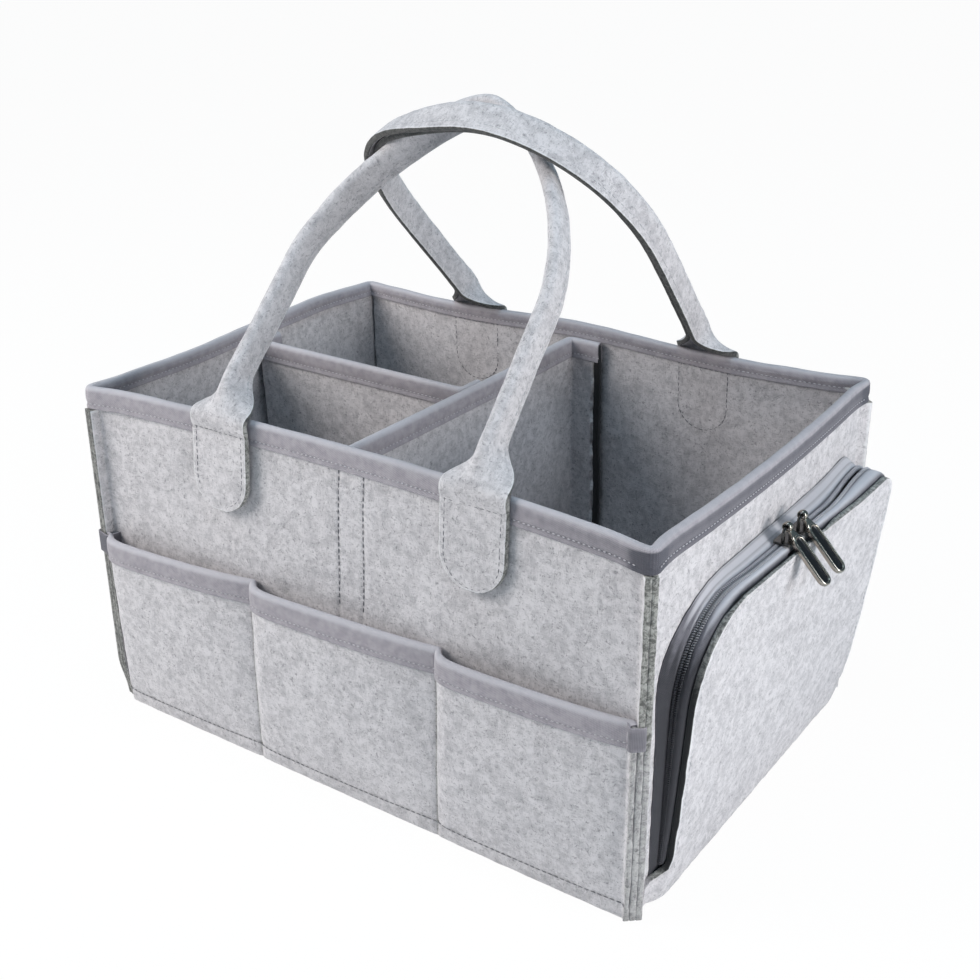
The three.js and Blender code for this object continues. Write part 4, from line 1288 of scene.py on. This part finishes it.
def plated(name, light, shade, roughness):
    material, nodes, shader = new_finish(name, roughness, 1.0)
    wear = nodes.noise(nodes.place("Object"), 420, 3)
    raw = nodes.tone_and_painted_light()
    metal = nodes.mixed(wear, light, shade)
    nodes.fill(shader, {
        "Base Color": nodes.mixed(raw, metal, enamel), "Roughness": wear * 0.2 + (roughness - 0.1),
        "Metallic": 1 - raw * 0.9,
    })
    return material


def skinned(rings, tones):
    """Closed shell over rings of points, each ring the same on both sides of its long axis."""
    rings = np.asarray(rings, float)
    count, sides = rings.shape[:2]
    index = np.arange(count * sides).reshape(count, sides)
    ahead = np.roll(index, -1, 1)
    walls = np.stack([index[:-1], ahead[:-1], ahead[1:], index[1:]], 2).reshape(-1, 4)
    near = np.arange(sides // 2 - 1)
    cap = np.column_stack([near, near + 1, sides - 2 - near, sides - 1 - near])
    quads = np.vstack([walls, cap[:, ::-1], cap + index[-1, 0]])
    points = rings.reshape(-1, 3)
    return points, quads, points[:, :2] / 1000, np.repeat(tones, sides)


def pull_outline(inset, lift):
    half = pull_half - inset
    tip_turn = np.linspace(-math.pi / 2, math.pi / 2, 12)
    tip = np.column_stack([pull_to - pull_half + half * np.cos(tip_turn), half * np.sin(tip_turn)])
    heel = np.column_stack([pull_from + pull_half - half * np.cos(tip_turn), -half * np.sin(tip_turn)])
    ring = np.roll(np.vstack([tip, heel]), -6, 0)
    return np.column_stack([ring, np.full(len(ring), lift)])


def eye_shell():
    around = np.linspace(0, 2 * math.pi, 25)[:-1]
    bar = np.linspace(0, 2 * math.pi, 11)[:-1]
    turn, roll = np.meshgrid(around, bar, indexing="ij")
    radius = eye_round + eye_bar * np.cos(roll)
    points = np.stack([radius * np.cos(turn), eye_wide * np.sin(roll), radius * np.sin(turn)], -1)
    index = np.arange(points[..., 0].size).reshape(points.shape[:2])
    ahead, above = np.roll(index, -1, 0), np.roll(index, -1, 1)
    quads = np.stack([index, ahead, np.roll(ahead, -1, 1), above], 2).reshape(-1, 4)
    points = points.reshape(-1, 3)
    return points, quads, points[:, :2] / 1000, np.zeros(len(points))


def neck_shell():
    corner = np.linspace(0, 2 * math.pi, 17)[:-1] + math.pi / 16
    c, s = np.cos(corner), np.sin(corner)
    shape = np.column_stack([np.sign(s) * abs(s) ** 0.5, np.sign(c) * abs(c) ** 0.5])
    rings = [np.column_stack([np.full(16, u), shape * [half, neck_deep]]) for u, half in neck_stops]
    return skinned(np.roll(rings, -4, 1), np.zeros(len(neck_stops)))


pull_plating = plated("pull_plating", plating_pale, plating_deep, 0.2)
slider_plating = plated("slider_plating", slider_pale, slider_deep, 0.24)
along = np.array([math.cos(pull_slope), 0, -math.sin(pull_slope)])
upward = np.array([math.sin(pull_slope), 0, math.cos(pull_slope)])
swung = np.array(Matrix.Rotation(pull_yaw, 3, "Z"))
pull_axes = np.stack([along, [0, 1, 0], upward]) @ swung.T
pull_outlines = [pull_outline(inset, lift) for inset, lift, _ in pull_rings]
pull_tab = skinned(pull_outlines, [mark for _, _, mark in pull_rings])
pull_parts = (pull_tab, neck_shell(), eye_shell())
for name, place in pull_places.items():
    shells = [(points @ pull_axes + place, *rest) for points, *rest in pull_parts]
    pull = piece(f"zip_pull_{name}_metal", shells, pull_plating)
    fixed(pull, f"pull_{name}", "gunmetal", f"zip_pull_{name}")
    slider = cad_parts[f"zip_slider_{name}"]
    slider.data.materials.clear()
    slider.data.materials.append(slider_plating)
